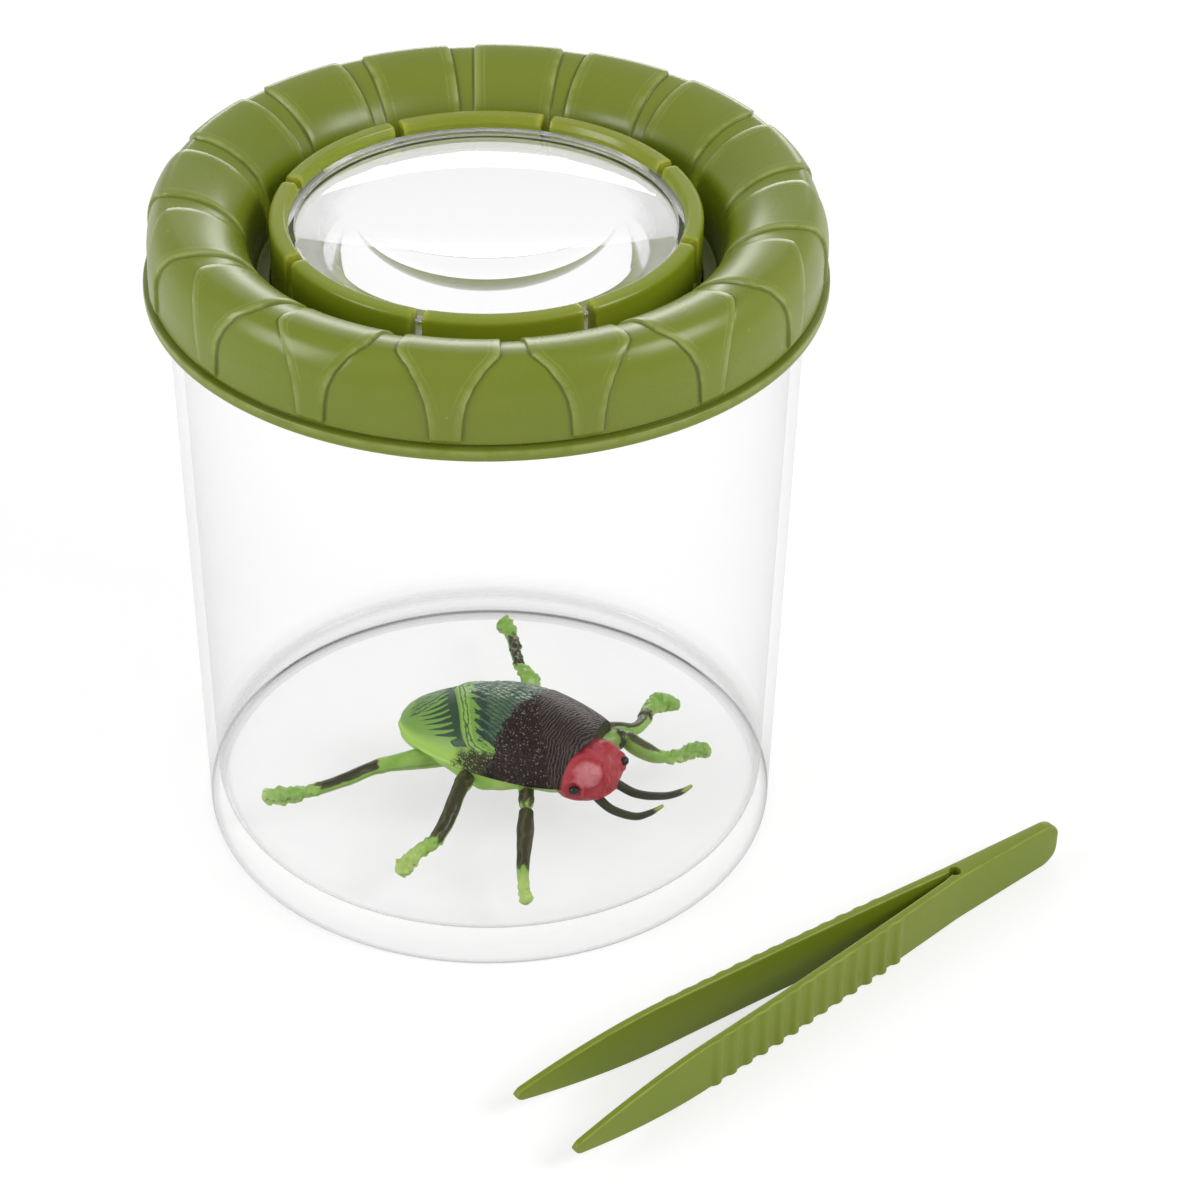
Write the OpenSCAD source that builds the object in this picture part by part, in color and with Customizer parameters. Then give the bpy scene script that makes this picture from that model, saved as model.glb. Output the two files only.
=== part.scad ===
// Bug catcher jar: a clear jar with a green magnifier lid, a toy beetle on its floor
// and a pair of tweezers beside it. Millimetres, +Z up. The origin is the centre of
// the jar's foot on the table, and the viewer stands on the -Y side.

/* [Jar] */
// Height of the jar without its lid
jar_h = 114; // [95:1:150]
// Outside diameter of the jar at its foot
jar_foot_d = 102; // [98:0.5:110]
// How much wider the jar is at its rim than at its foot
jar_draft = 3.4; // [2:0.1:6]
// Wall of the jar
jar_wall = 1.8; // [1.2:0.1:2.6]
// Height of the recess under the floor
foot_recess = 4; // [2:0.5:8]
// Wall of the foot ring around the recess
foot_wall = 2.6; // [1.8:0.1:4]
// Thickness of the floor
floor_t = 1.9; // [1.2:0.1:3]
// Fillet between the floor and the wall inside
floor_fillet = 1.6; // [0.8:0.1:3]

/* [Lid] */
// How far the skirt reaches down past the jar's rim
skirt_drop = 7.7; // [5:0.1:14]
// How far the rounded ring stands above the jar's rim
ring_rise = 8.2; // [7.5:0.1:12]
// Wall of the lid moulding
lid_wall = 1.6; // [1.2:0.1:2]
// Wall of the skirt
skirt_wall = 2.2; // [1.9:0.1:2.8]
// Gap all round between the jar's rim and the skirt
lid_clearance = 0.3; // [0.2:0.05:0.5]
// How far the bead at the skirt's edge stands out
bead_out = 1; // [0.6:0.1:2.5]
// Height of the bead at the skirt's edge
bead_h = 2.1; // [1.2:0.1:3.5]
// Inside diameter of the rounded ring, at the well
well_d = 76; // [74:0.5:82]
// Depth of the well below the top of the ring
well_depth = 15.1; // [14:0.1:17]
// Height of the ring's curved outer side
outer_curve_h = 8.6; // [7:0.1:10]
// Depth of the ring's curved inner side
inner_curve_h = 13.2; // [10:0.1:14]
// Width of the shoulder that sits on the jar's rim
seat_w = 1.7; // [1.2:0.1:2.2]
// Height of that shoulder at the skirt
seat_h = 3; // [2:0.1:4]
// Number of raised petals round the ring
petal_count = 16; // [12:1:20]
// How far a petal stands out of the ring
petal_out = 0.45; // [0.3:0.05:0.8]
// Angle that the first petal is turned from +X
petal_turn = 16.5; // [0:0.25:22.5]

/* [Lens and its clip ring] */
// Outside diameter of the lens
lens_d = 65.6; // [62:0.2:66]
// Thickness of the lens at its edge
lens_edge = 6; // [4:0.2:8]
// Bulge of the lens above its edge
lens_bulge_top = 4.6; // [3:0.1:6]
// Bulge of the lens below its edge
lens_bulge_low = 4; // [2:0.1:5]
// Width of the flat rim round the upper bulge
lens_rim_w = 1.6; // [1:0.1:3]
// Height of the flat rim above the edge of the upper bulge
lens_rim_h = 0.5; // [0.3:0.1:1]
// Depth of the lens's upper rim below the top of the lid's ring
lens_drop = 5.9; // [5:0.1:7]
// Gap all round between the lens and its clips
lens_clearance = 0.2; // [0.1:0.05:0.3]
// Gap all round between the clip ring and the hole in the lid
ring_clearance = 0.2; // [0.1:0.05:0.3]
// Wall of the clips
clip_wall = 2.3; // [1.8:0.1:2.6]
// How far the clips reach in over the lens
clip_hook = 0.8; // [0.5:0.1:1.2]
// Height of the clips above the lens's upper rim
clip_over = 2.2; // [1.6:0.1:3]
// Number of clips
clip_count = 8; // [6:1:12]
// Width of the slot between two clips
clip_slot = 1.8; // [1:0.1:3]
// Angle that the first slot is turned from +X
clip_turn = 27.5; // [0:0.5:45]
// Width of the flange under the lid's hole
flange_w = 3.1; // [2:0.1:3.4]
// Thickness of the flange and of the ledge under the lens
flange_t = 1.5; // [1:0.1:2]
// Width of the ledge under the lens
ledge_w = 2; // [1.2:0.1:3]

/* [Tweezers] */
// Length from the hole to the tips
arm_l = 90.4; // [70:0.1:100]
// Length from the hole to the tail's end
tail_l = 25.2; // [15:0.1:35]
// Height of the strip as it stands on its edge
strip_h = 9.8; // [7:0.1:12]
// Thickness of one arm beside the hole
arm_root_t = 1.6; // [1.5:0.05:2]
// Thickness of one arm at its tip
arm_tip_t = 1.3; // [1:0.05:1.6]
// Thickness of the tail at its end
tail_end_t = 2; // [1.6:0.1:3]
// Width of the slit where it meets the hole
slit_w = 0.6; // [0.4:0.05:1]
// Diameter of the hole at the end of the slit
slit_hole_d = 2.2; // [1.6:0.1:2.4]
// Angle between one arm and the middle plane
arm_spread = 4.15; // [3:0.05:6]
// How far an arm bows outwards in its middle
arm_bow = 0.55; // [0:0.05:1.5]
// Height of the strip at the tail's end
tail_end_h = 8.8; // [6:0.1:12]
// Height of the rounded tip
tip_h = 2; // [1.6:0.1:4]
// How far the tips lie above the middle of the strip
tip_lift = 0.3; // [0:0.1:2]
// Number of grip ribs on each arm
rib_count = 13; // [6:1:16]
// Distance from one grip rib to the next
rib_pitch = 3.6; // [3:0.1:4]
// How far a grip rib stands out
rib_out = 0.7; // [0.4:0.05:1.2]
// Distance from the hole to the first grip rib
rib_start = 15; // [8:0.5:25]
// Gap between each arm and the tail
web_gap = 0.3; // [0.2:0.05:0.4]
// Place of the hole, to the right of the jar's axis
tweezers_x = 80.6; // [76:0.1:110]
// Place of the hole, away from the viewer
tweezers_y = -37.8; // [-60:0.1:-36]
// Direction in which the tips point
tweezers_turn = 218; // [210:0.1:225]

/* [Beetle] */
// Length of the beetle from its tail end to the front of its thorax
bug_l = 37; // [30:0.5:40]
// Width of the beetle's body
bug_w = 23; // [18:0.5:24]
// Height of its back above the floor
bug_h = 17; // [14:0.5:20]
// Height of its belly above the floor
belly_z = 3; // [2:0.1:4]
// Thickness of a leg
leg_t = 2.6; // [2:0.1:3.2]
// Thickness of a horn
horn_t = 1.8; // [1.4:0.1:2.4]
// Diameter of an eye
eye_d = 2.6; // [2:0.1:3.4]
// Height at which the feet clear the floor
foot_clearance = 0.05; // [0.02:0.01:0.2]
// Place of the beetle's middle, to the right of the jar's axis
bug_x = 2.6; // [-2:0.1:5]
// Place of the beetle's middle, away from the viewer
bug_y = -6.4; // [-8:0.1:0]
// Direction in which the beetle's head points
bug_turn = -20; // [-40:0.5:0]

/* [Hidden] */
$fn = 96;

green = [0.47, 0.54, 0.24];
clip_green = [0.55, 0.60, 0.30];
clear = [0.86, 0.88, 0.90, 0.35];
lime = [0.55, 0.80, 0.30];
leaf = [0.35, 0.60, 0.25];
dark = [0.20, 0.13, 0.12];
red = [0.70, 0.16, 0.20];

// One overrun serves every cut
over = 1;

// Jar
foot_r = jar_foot_d / 2;
rim_r = (jar_foot_d + jar_draft) / 2;
floor_z = foot_recess + floor_t;
function jar_out_r(z) = foot_r + (rim_r - foot_r) * z / jar_h;
function jar_in_r(z) = jar_out_r(z) - jar_wall;

// Lid
skirt_in_r = rim_r + lid_clearance;
skirt_r = skirt_in_r + skirt_wall;
bead_r = skirt_r + bead_out;
skirt_z = jar_h - skirt_drop;
lid_top = jar_h + ring_rise;
knee_z = lid_top - outer_curve_h;
well_r = well_d / 2;
well_z = lid_top - well_depth;
// The crest lies well past the middle of the ring
crest_share = 0.75;
crest_r = well_r + (skirt_r - well_r) * crest_share;
curve_steps = 10;

// Clip ring and lens
lens_r = lens_d / 2;
lens_top = lid_top - lens_drop;
lens_low = lens_top - lens_edge;
clip_in_r = lens_r + lens_clearance;
clip_r = clip_in_r + clip_wall;
clip_top = lens_top + clip_over;
clip_hook_r = clip_in_r - clip_hook;
hook_z = lens_top + lens_clearance / 2;
lid_hole_r = clip_r + ring_clearance;
flange_z = well_z - lid_wall;

// Tweezers
mid_z = strip_h / 2;
slit_slope = tan(arm_spread);
taper_start = rib_start + rib_pitch * rib_count;
// Where a rib's land begins and ends and where its flank ends, as parts of the pitch
rib_land_share = 0.15;
rib_edge_share = 0.45;
rib_foot_share = 0.62;
// How fast the arm narrows towards its tip
taper_power = 1.75;
taper_steps = 8;
// How the very end of the tip is rounded off: how far back, and how high there
tip_round_share = 0.5;
tip_end_share = 0.55;
function arm_in(x) = slit_w / 2 + x * slit_slope + arm_bow * 4 * x * (arm_l - x) / (arm_l * arm_l);
function arm_out(x) = arm_in(x) + arm_root_t + (arm_tip_t - arm_root_t) * x / arm_l;
function taper(x) = pow((x - taper_start) / (arm_l - taper_start), taper_power);
function arm_half_h(x) = tip_h / 2 + (strip_h - tip_h) / 2 * (1 - taper(x));
function arm_mid_z(x) = mid_z + tip_lift * taper(x);

// Beetle
limb_sides = 10;
loft_steps = 14;
loft_sides = 20;
span_steps = 3;
// Height of the seam between back and belly, between the belly and the top of the back
seam_share = 0.36;
seam_z = belly_z + (bug_h - belly_z) * seam_share;
// Where the wing cases meet the thorax, and where the thorax ends, from the middle
waist_share = 0.09;
neck_share = 0.47;
tail_share = -0.53;
waist_x = bug_l * waist_share;
neck_x = bug_l * neck_share;
tail_x = bug_l * tail_share;

// The same shape on the other side of the tweezers or the beetle
module mirrored_y(flip) {
  if (flip) {
    mirror([0, 1, 0]) children();
  } else {
    children();
  }
}

function quarter(cx, cz, a, b, from, to) =
  [for (i = [0 : curve_steps]) let (t = from + (to - from) * i / curve_steps) [cx + a * cos(t), cz + b * sin(t)]];

// Jar: one revolved wall with a recessed floor
module jar_body() {
  fillet_r = jar_in_r(floor_z);
  recess_r = foot_r - foot_wall;
  color(clear) rotate_extrude() polygon(concat(
    [[0, foot_recess], [recess_r, foot_recess], [recess_r, 0], [foot_r, 0], [rim_r, jar_h]],
    [[rim_r - jar_wall, jar_h]],
    quarter(fillet_r - floor_fillet, floor_z + floor_fillet, floor_fillet, floor_fillet, 0, -90),
    [[0, floor_z]]
  ));
}

// The lid's outer face from a height on the skirt over the crest to the well, let in by depth
function lid_face(depth, low_z, inner_low_z) = concat(
  low_z < knee_z ? [[skirt_r - depth, low_z]] : [],
  quarter(crest_r, knee_z, skirt_r - crest_r - depth, outer_curve_h - depth,
    asin(max(0, low_z - knee_z) / (outer_curve_h - depth)), 90),
  quarter(crest_r, lid_top - inner_curve_h, crest_r - well_r - depth, inner_curve_h - depth, 90, 180),
  [[well_r + depth, inner_low_z]]
);

function backwards(list) = [for (i = [len(list) - 1 : -1 : 0]) list[i]];

// A thin skin over the ring's face, out of which the petals are cut
module petal_skin() {
  rotate_extrude() polygon(concat(
    lid_face(-petal_out, skirt_z + bead_h, lid_top - inner_curve_h),
    backwards(lid_face(lid_wall / 2, skirt_z + bead_h, lid_top - inner_curve_h))
  ));
}

// A petal is wide over the crest and narrows down the skirt to a stem. Each row holds a
// part of the petals' pitch and a height between the skirt's edge and the ring's top.
petal_edge_shares = [[0.21, 0], [0.235, 0.42], [0.285, 0.61], [0.39, 0.77], [0.53, 0.91]];
petal_crest_share = 0.78;
petal_well_share = 0.84;
petal_pitch = 360 / petal_count;

function petal_half_w(r, width_share) = r * tan(petal_pitch * width_share / 2);

module petal_mask() {
  wide_in = petal_half_w(well_r, petal_well_share);
  wide_crest = petal_half_w(crest_r, petal_crest_share);
  edge = concat(
    [for (s = petal_edge_shares) [petal_half_w(skirt_r, s[0]), skirt_z + (lid_top - skirt_z) * s[1]]],
    [[wide_crest, lid_top], [wide_crest, lid_top + over]]
  );
  union() {
    linear_extrude(height = lid_top + over) polygon([
      [well_r - over, -wide_in], [crest_r, -wide_crest], [crest_r, wide_crest], [well_r - over, wide_in]
    ]);
    translate([crest_r, 0, 0]) rotate([90, 0, 90]) linear_extrude(height = bead_r - crest_r + over)
      polygon(concat(edge, [for (p = backwards(edge)) [-p[0], p[1]]]));
  }
}

// Lid: a hollow rounded ring with a skirt outside and a well inside
module lid_cap() {
  color(green) union() {
    rotate_extrude() polygon(concat(
      [[skirt_in_r, skirt_z], [bead_r - bead_out / 2, skirt_z], [bead_r, skirt_z + bead_h / 3]],
      [[bead_r, skirt_z + bead_h * 2 / 3]],
      lid_face(0, skirt_z + bead_h, well_z),
      [[lid_hole_r, well_z], [lid_hole_r, flange_z], [well_r + lid_wall, flange_z]],
      backwards(lid_face(lid_wall, jar_h + seat_h, flange_z + lid_wall)),
      [[skirt_in_r - seat_w, jar_h + seat_h / 2], [skirt_in_r - seat_w, jar_h], [skirt_in_r, jar_h]]
    ));
    for (i = [0 : petal_count - 1]) rotate(petal_turn + petal_pitch * i) intersection() {
      petal_skin();
      petal_mask();
    }
  }
}

// Clip ring: a flange under the lid, a ledge for the lens and clips that reach over it
module lens_clip_ring() {
  clip_round = clip_wall / 2;
  low_z = flange_z - flange_t;
  color(clip_green) difference() {
    rotate_extrude() polygon(concat(
      [[clip_in_r, low_z], [clip_r + flange_w, low_z], [clip_r + flange_w, flange_z], [clip_r, flange_z]],
      quarter(clip_r - clip_round, clip_top - clip_round, clip_round, clip_round, 0, 90),
      [[clip_hook_r + clip_hook, clip_top - lens_clearance], [clip_hook_r, clip_top - clip_round]],
      [[clip_hook_r, hook_z], [clip_in_r, hook_z], [clip_in_r, lens_low], [clip_in_r - ledge_w, lens_low]],
      [[clip_in_r - ledge_w, lens_low - flange_t], [clip_in_r, lens_low - flange_t]]
    ));
    for (i = [0 : clip_count - 1]) rotate(clip_turn + i * 360 / clip_count)
      translate([clip_hook_r - over, -clip_slot / 2, lens_low])
        cube([clip_wall + clip_hook + over + over, clip_slot, lens_edge + clip_over + over]);
  }
}

// Radius of a sphere whose cap has this half width and this height
function cap_r(half_w, height) = (half_w * half_w + height * height) / (2 * height);

// Lens: a disc that bulges on both faces, with a raised flat rim
module lens() {
  dome_r = lens_r - lens_rim_w;
  dome_z = lens_top - lens_rim_h;
  low_r = lens_r - ledge_w;
  top_ball = cap_r(dome_r, lens_bulge_top);
  low_ball = cap_r(low_r, lens_bulge_low);
  color(clear) union() {
    difference() {
      translate([0, 0, lens_low]) cylinder(r = lens_r, h = lens_edge);
      translate([0, 0, dome_z]) cylinder(r = dome_r, h = lens_rim_h + over);
    }
    translate([0, 0, dome_z]) intersection() {
      translate([0, 0, lens_bulge_top - top_ball]) sphere(r = top_ball);
      cylinder(r = dome_r, h = lens_bulge_top);
    }
    translate([0, 0, lens_low]) intersection() {
      translate([0, 0, low_ball - lens_bulge_low]) sphere(r = low_ball);
      translate([0, 0, -lens_bulge_low]) cylinder(r = low_r, h = lens_bulge_low);
    }
  }
}

// Everything of the tweezers is drawn with the hole at the origin and the tips along +X
module place_tweezers() {
  translate([tweezers_x, tweezers_y, 0]) rotate(tweezers_turn) children();
}

module slit_hole() {
  translate([0, 0, -over]) cylinder(d = slit_hole_d, h = strip_h + over + over);
}

// Tail: the solid end behind the hole, rounded where it is held
tail_round_share = 0.42;

module tweezers_tail() {
  root_half = arm_out(0);
  tail_round = tail_end_h * tail_round_share;
  color(green) place_tweezers() difference() {
    intersection() {
      linear_extrude(height = strip_h) polygon([
        [-tail_l, -tail_end_t / 2], [-web_gap / 2, -root_half], [-web_gap / 2, root_half], [-tail_l, tail_end_t / 2]
      ]);
      translate([0, root_half, 0]) rotate([90, 0, 0]) linear_extrude(height = root_half * 2) polygon(concat(
        [[0, 0], [0, strip_h]],
        quarter(tail_round - tail_l, tail_end_h - tail_round, tail_round, tail_round, 90, 180),
        quarter(tail_round - tail_l, tail_round, tail_round, tail_round, 180, 270)
      ));
    }
    slit_hole();
  }
}

// Plan of one arm: a bowed inner face and an outer face with grip ribs
function rib_points(x) = [
  [x + rib_pitch * rib_foot_share, arm_out(x + rib_pitch * rib_foot_share)],
  [x + rib_pitch * rib_edge_share, arm_out(x + rib_pitch * rib_edge_share) + rib_out],
  [x + rib_pitch * rib_land_share, arm_out(x + rib_pitch * rib_land_share) + rib_out],
  [x, arm_out(x)]
];

module arm_plan() {
  root_x = web_gap / 2;
  polygon(concat(
    [for (i = [0 : taper_steps]) let (x = root_x + (arm_l - root_x) * i / taper_steps) [x, arm_in(x)]],
    [for (i = [taper_steps : -1 : 0]) let (x = taper_start + (arm_l - taper_start) * i / taper_steps) [x, arm_out(x)]],
    [for (i = [rib_count - 1 : -1 : 0], p = rib_points(rib_start + rib_pitch * i)) p],
    [[root_x, arm_out(root_x)]]
  ));
}

// Side view of one arm: full height to the last rib, then a taper to the tip
module arm_side() {
  taper_end = arm_l - tip_h * tip_round_share;
  stations = [for (i = [0 : taper_steps]) taper_start + (taper_end - taper_start) * i / taper_steps];
  end_half = tip_h / 2 * tip_end_share;
  polygon(concat(
    [[0, 0]],
    [for (x = stations) [x, arm_mid_z(x) - arm_half_h(x)]],
    [[arm_l, arm_mid_z(arm_l) - end_half], [arm_l, arm_mid_z(arm_l) + end_half]],
    backwards([for (x = stations) [x, arm_mid_z(x) + arm_half_h(x)]]),
    [[0, strip_h]]
  ));
}

module tweezers_arm(flip) {
  reach = arm_out(arm_l) + rib_out + arm_bow;
  color(green) place_tweezers() mirrored_y(flip) difference() {
    intersection() {
      linear_extrude(height = strip_h) arm_plan();
      translate([0, reach, 0]) rotate([90, 0, 0]) linear_extrude(height = reach) arm_side();
    }
    slit_hole();
  }
}

module tweezers_arm_front() {
  tweezers_arm(false);
}

module tweezers_arm_back() {
  tweezers_arm(true);
}

// The beetle stands on the jar's floor and is drawn with its head along +X
module place_beetle() {
  translate([bug_x, bug_y, floor_z + foot_clearance]) rotate(bug_turn) children();
}

// A closed skin through rings of points that all have the same number of points
module skin(rings) {
  sides = len(rings[0]);
  last = len(rings) - 1;
  polyhedron(
    points = [for (ring = rings, p = ring) p],
    faces = concat(
      [[for (i = [sides - 1 : -1 : 0]) i]],
      [for (k = [0 : last - 1], i = [0 : sides - 1]) let (a = k * sides + i, b = k * sides + (i + 1) % sides)
        [a, b, b + sides]],
      [for (k = [0 : last - 1], i = [0 : sides - 1]) let (a = k * sides + i, b = k * sides + (i + 1) % sides)
        [a, b + sides, a + sides]],
      [[for (i = [0 : sides - 1]) last * sides + i]]
    )
  );
}

// How full an egg-shaped outline is at x, between 0 at its ends and 1 in its middle
function fullness(x, middle, reach, power) = sqrt(max(0, 1 - pow(abs(x - middle) / reach, power)));

// Half of a body, above or below its seam: half ovals along X
function half_ring(x, half_w, height, up) =
  [for (i = [0 : loft_sides]) let (t = 180 * i / loft_sides) [x, half_w * cos(t) * up, seam_z + height * sin(t) * up]];

function body_stations(from, to) =
  [for (i = [0 : loft_steps]) from + (to - from) * (1 - cos(180 * i / loft_steps)) / 2];

// Half width and height of the back over its length
back_middle_share = 0.14;
back_reach_share = 0.68;
nose_reach_share = 0.50;
crest_middle_share = 0.14;
crest_back_share = 0.68;
crest_nose_share = 0.47;
outline_power = 2.2;
crest_power = 1.7;
function back_half_w(x) = bug_w / 2 * fullness(x, bug_l * back_middle_share,
  bug_l * (x < bug_l * back_middle_share ? back_reach_share : nose_reach_share), outline_power);
function back_rise(x) = (bug_h - seam_z) * fullness(x, bug_l * crest_middle_share,
  bug_l * (x < bug_l * crest_middle_share ? crest_back_share : crest_nose_share), crest_power);

module back_piece(from, to) {
  skin([for (x = body_stations(from, to)) half_ring(x, back_half_w(x), back_rise(x), 1)]);
}

module beetle_wing_cases() {
  color(leaf) place_beetle() back_piece(tail_x, waist_x);
}

module beetle_thorax() {
  color(dark) place_beetle() back_piece(waist_x, neck_x);
}

// The belly is a little narrower than the back and hangs below the seam
belly_width_share = 0.86;
belly_reach_share = 0.96;

module beetle_belly() {
  color(lime) place_beetle() skin([
    for (x = body_stations(tail_x * belly_reach_share, neck_x * belly_reach_share))
      half_ring(x, back_half_w(x) * belly_width_share,
        (seam_z - belly_z) * fullness(x, 0, bug_l * back_reach_share, 4), -1)
  ]);
}

// Head: an egg that is turned a little towards the viewer and sunk into the thorax
head_len_share = 0.15;
head_wide_share = 0.31;
head_high_share = 0.30;
head_x_share = 0.46;
head_y_share = -0.07;
head_z_share = 0.45;
head_turn = -26;
head_l = bug_l * head_len_share;
head_w = bug_w * head_wide_share;
head_h = bug_h * head_high_share;

module place_head() {
  translate([bug_l * head_x_share, bug_l * head_y_share, bug_h * head_z_share]) rotate(head_turn) children();
}

module beetle_head() {
  tip_share = 0.02;
  stations = [for (i = [0 : loft_steps]) -cos(180 * i / loft_steps)];
  color(red) place_beetle() place_head() skin([
    for (s = stations) let (full = max(tip_share, sqrt(1 - s * s)))
      [for (i = [0 : loft_sides - 1]) let (t = 360 * i / loft_sides)
        [head_l * s, head_w * full * cos(t), head_h * full * sin(t)]]
  ]);
}

// Eyes: beads half sunk into the sides of the head
eye_turn = 52;
eye_z_share = -0.10;

module beetle_eye(side) {
  color(dark) place_beetle() place_head()
    translate([head_l * cos(eye_turn), side * head_w * sin(eye_turn), head_h * eye_z_share]) sphere(d = eye_d);
}

module beetle_eye_left() {
  beetle_eye(1);
}

module beetle_eye_right() {
  beetle_eye(-1);
}

// A smooth curve through hand-placed points
function blend4(a, b, c, d, t) =
  (b * 2 + (c - a) * t + (a * 2 - b * 5 + c * 4 - d) * t * t + (b * 3 - a - c * 3 + d) * t * t * t) / 2;

function smooth(list) = let (last = len(list) - 1) concat(
  [for (i = [0 : last - 1], j = [0 : span_steps - 1])
    blend4(list[max(i - 1, 0)], list[i], list[i + 1], list[min(i + 2, last)], j / span_steps)],
  [list[last]]
);

function heading(list, i) =
  let (d = list[min(i + 1, len(list) - 1)] - list[max(i - 1, 0)], v = [d[0], d[1], d[2]]) v / norm(v);

// A limb: rounded rings along a smooth path. Each row holds a place and a thickness.
module limb(rows) {
  path = smooth(rows);
  skin([for (i = [0 : len(path) - 1]) let (
    p = [path[i][0], path[i][1], path[i][2]],
    r = path[i][3] / 2,
    along = heading(path, i),
    level = cross([0, 0, 1], along),
    side = level / norm(level),
    rise = cross(along, side)
  ) [for (k = [0 : limb_sides - 1]) let (t = 360 * k / limb_sides) p + side * r * cos(t) + rise * r * sin(t)]]);
}

// Rows of shares: along, across and height follow the body's length, thickness follows its own size
function limb_rows(shares, thickness) =
  [for (s = shares) [bug_l * s[0], bug_l * s[1], bug_l * s[2], thickness * s[3]]];

// Horns: two curved rods from under the head, with tips that turn up
horn_left_shares = [
  [0.51, -0.04, 0.15, 0.90], [0.59, -0.02, 0.114, 1.20], [0.69, -0.02, 0.08, 1.10],
  [0.82, -0.01, 0.095, 1.00], [0.90, 0.02, 0.12, 0.80], [0.95, 0.04, 0.16, 0.40]
];
horn_right_shares = [
  [0.47, -0.13, 0.15, 0.90], [0.54, -0.15, 0.108, 1.20], [0.62, -0.174, 0.08, 1.10],
  [0.73, -0.18, 0.076, 1.00], [0.80, -0.16, 0.10, 0.80], [0.86, -0.126, 0.14, 0.40]
];

module beetle_horn_left() {
  color(dark) place_beetle() limb(limb_rows(horn_left_shares, horn_t));
}

module beetle_horn_right() {
  color(dark) place_beetle() limb(limb_rows(horn_right_shares, horn_t));
}

// Legs, each from its root under the body to its foot on the floor
fore_left_shares = [
  [0.42, 0.14, 0.19, 1.40], [0.53, 0.25, 0.176, 1.30], [0.60, 0.245, 0.15, 1.30],
  [0.70, 0.255, 0.108, 1.00], [0.776, 0.335, 0.068, 0.85], [0.846, 0.430, 0.05, 1.05],
  [0.92, 0.460, 0.035, 0.80]
];
fore_right_shares = [
  [0.17, -0.16, 0.155, 1.30], [0.247, -0.36, 0.176, 1.00], [0.31, -0.55, 0.135, 1.05],
  [0.364, -0.73, 0.081, 0.85], [0.406, -0.83, 0.05, 0.75], [0.445, -0.90, 0.036, 1.00]
];
mid_left_shares = [
  [0.33, 0.22, 0.17, 1.20], [0.45, 0.32, 0.162, 1.00], [0.53, 0.40, 0.122, 0.90],
  [0.55, 0.50, 0.095, 0.90], [0.537, 0.66, 0.068, 1.00], [0.579, 0.746, 0.054, 1.20],
  [0.665, 0.754, 0.035, 0.90]
];
mid_right_shares = [
  [-0.09, -0.16, 0.155, 1.40], [-0.08, -0.40, 0.176, 1.10], [-0.075, -0.56, 0.135, 1.10],
  [-0.10, -0.69, 0.081, 0.95], [-0.16, -0.76, 0.05, 0.90], [-0.18, -0.857, 0.04, 1.00],
  [-0.21, -0.90, 0.034, 0.85]
];
hind_left_shares = [
  [0.07, 0.24, 0.18, 1.30], [0.00, 0.40, 0.189, 1.30], [-0.06, 0.54, 0.176, 0.90],
  [-0.17, 0.69, 0.135, 0.75], [-0.266, 0.89, 0.081, 0.75], [-0.357, 1.056, 0.05, 0.90],
  [-0.43, 1.12, 0.035, 0.90]
];
hind_right_shares = [
  [-0.22, -0.12, 0.155, 1.60], [-0.32, -0.18, 0.15, 1.60], [-0.426, -0.254, 0.15, 1.25],
  [-0.539, -0.32, 0.135, 1.00], [-0.646, -0.442, 0.122, 0.95], [-0.77, -0.523, 0.086, 0.85],
  [-0.892, -0.57, 0.05, 1.10], [-0.977, -0.596, 0.043, 1.10], [-1.02, -0.617, 0.034, 0.80]
];

module beetle_leg(shares) {
  color(lime) place_beetle() limb(limb_rows(shares, leg_t));
}

module beetle_leg_fore_left() {
  beetle_leg(fore_left_shares);
}

module beetle_leg_fore_right() {
  beetle_leg(fore_right_shares);
}

module beetle_leg_mid_left() {
  beetle_leg(mid_left_shares);
}

module beetle_leg_mid_right() {
  beetle_leg(mid_right_shares);
}

module beetle_leg_hind_left() {
  beetle_leg(hind_left_shares);
}

module beetle_leg_hind_right() {
  beetle_leg(hind_right_shares);
}

jar_body();
lid_cap();
lens_clip_ring();
lens();
tweezers_tail();
tweezers_arm_front();
tweezers_arm_back();
beetle_belly();
beetle_wing_cases();
beetle_thorax();
beetle_head();
beetle_eye_left();
beetle_eye_right();
beetle_horn_left();
beetle_horn_right();
beetle_leg_fore_left();
beetle_leg_fore_right();
beetle_leg_mid_left();
beetle_leg_mid_right();
beetle_leg_hind_left();
beetle_leg_hind_right();
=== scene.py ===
"""Bug catcher jar with its magnifier lid, a toy beetle and a pair of tweezers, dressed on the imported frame.

Lengths are in millimetres, unless a name ends in _m, and MM turns them into Blender's metres. The origin
is the centre of the jar's foot, +Z is up and the viewer stands on the -Y side.
"""

import logging
import math
from collections.abc import Callable, Sequence
from dataclasses import dataclass, field
from enum import Enum
from typing import Any

import bmesh
import bpy
import numpy as np
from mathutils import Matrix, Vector, noise


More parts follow.
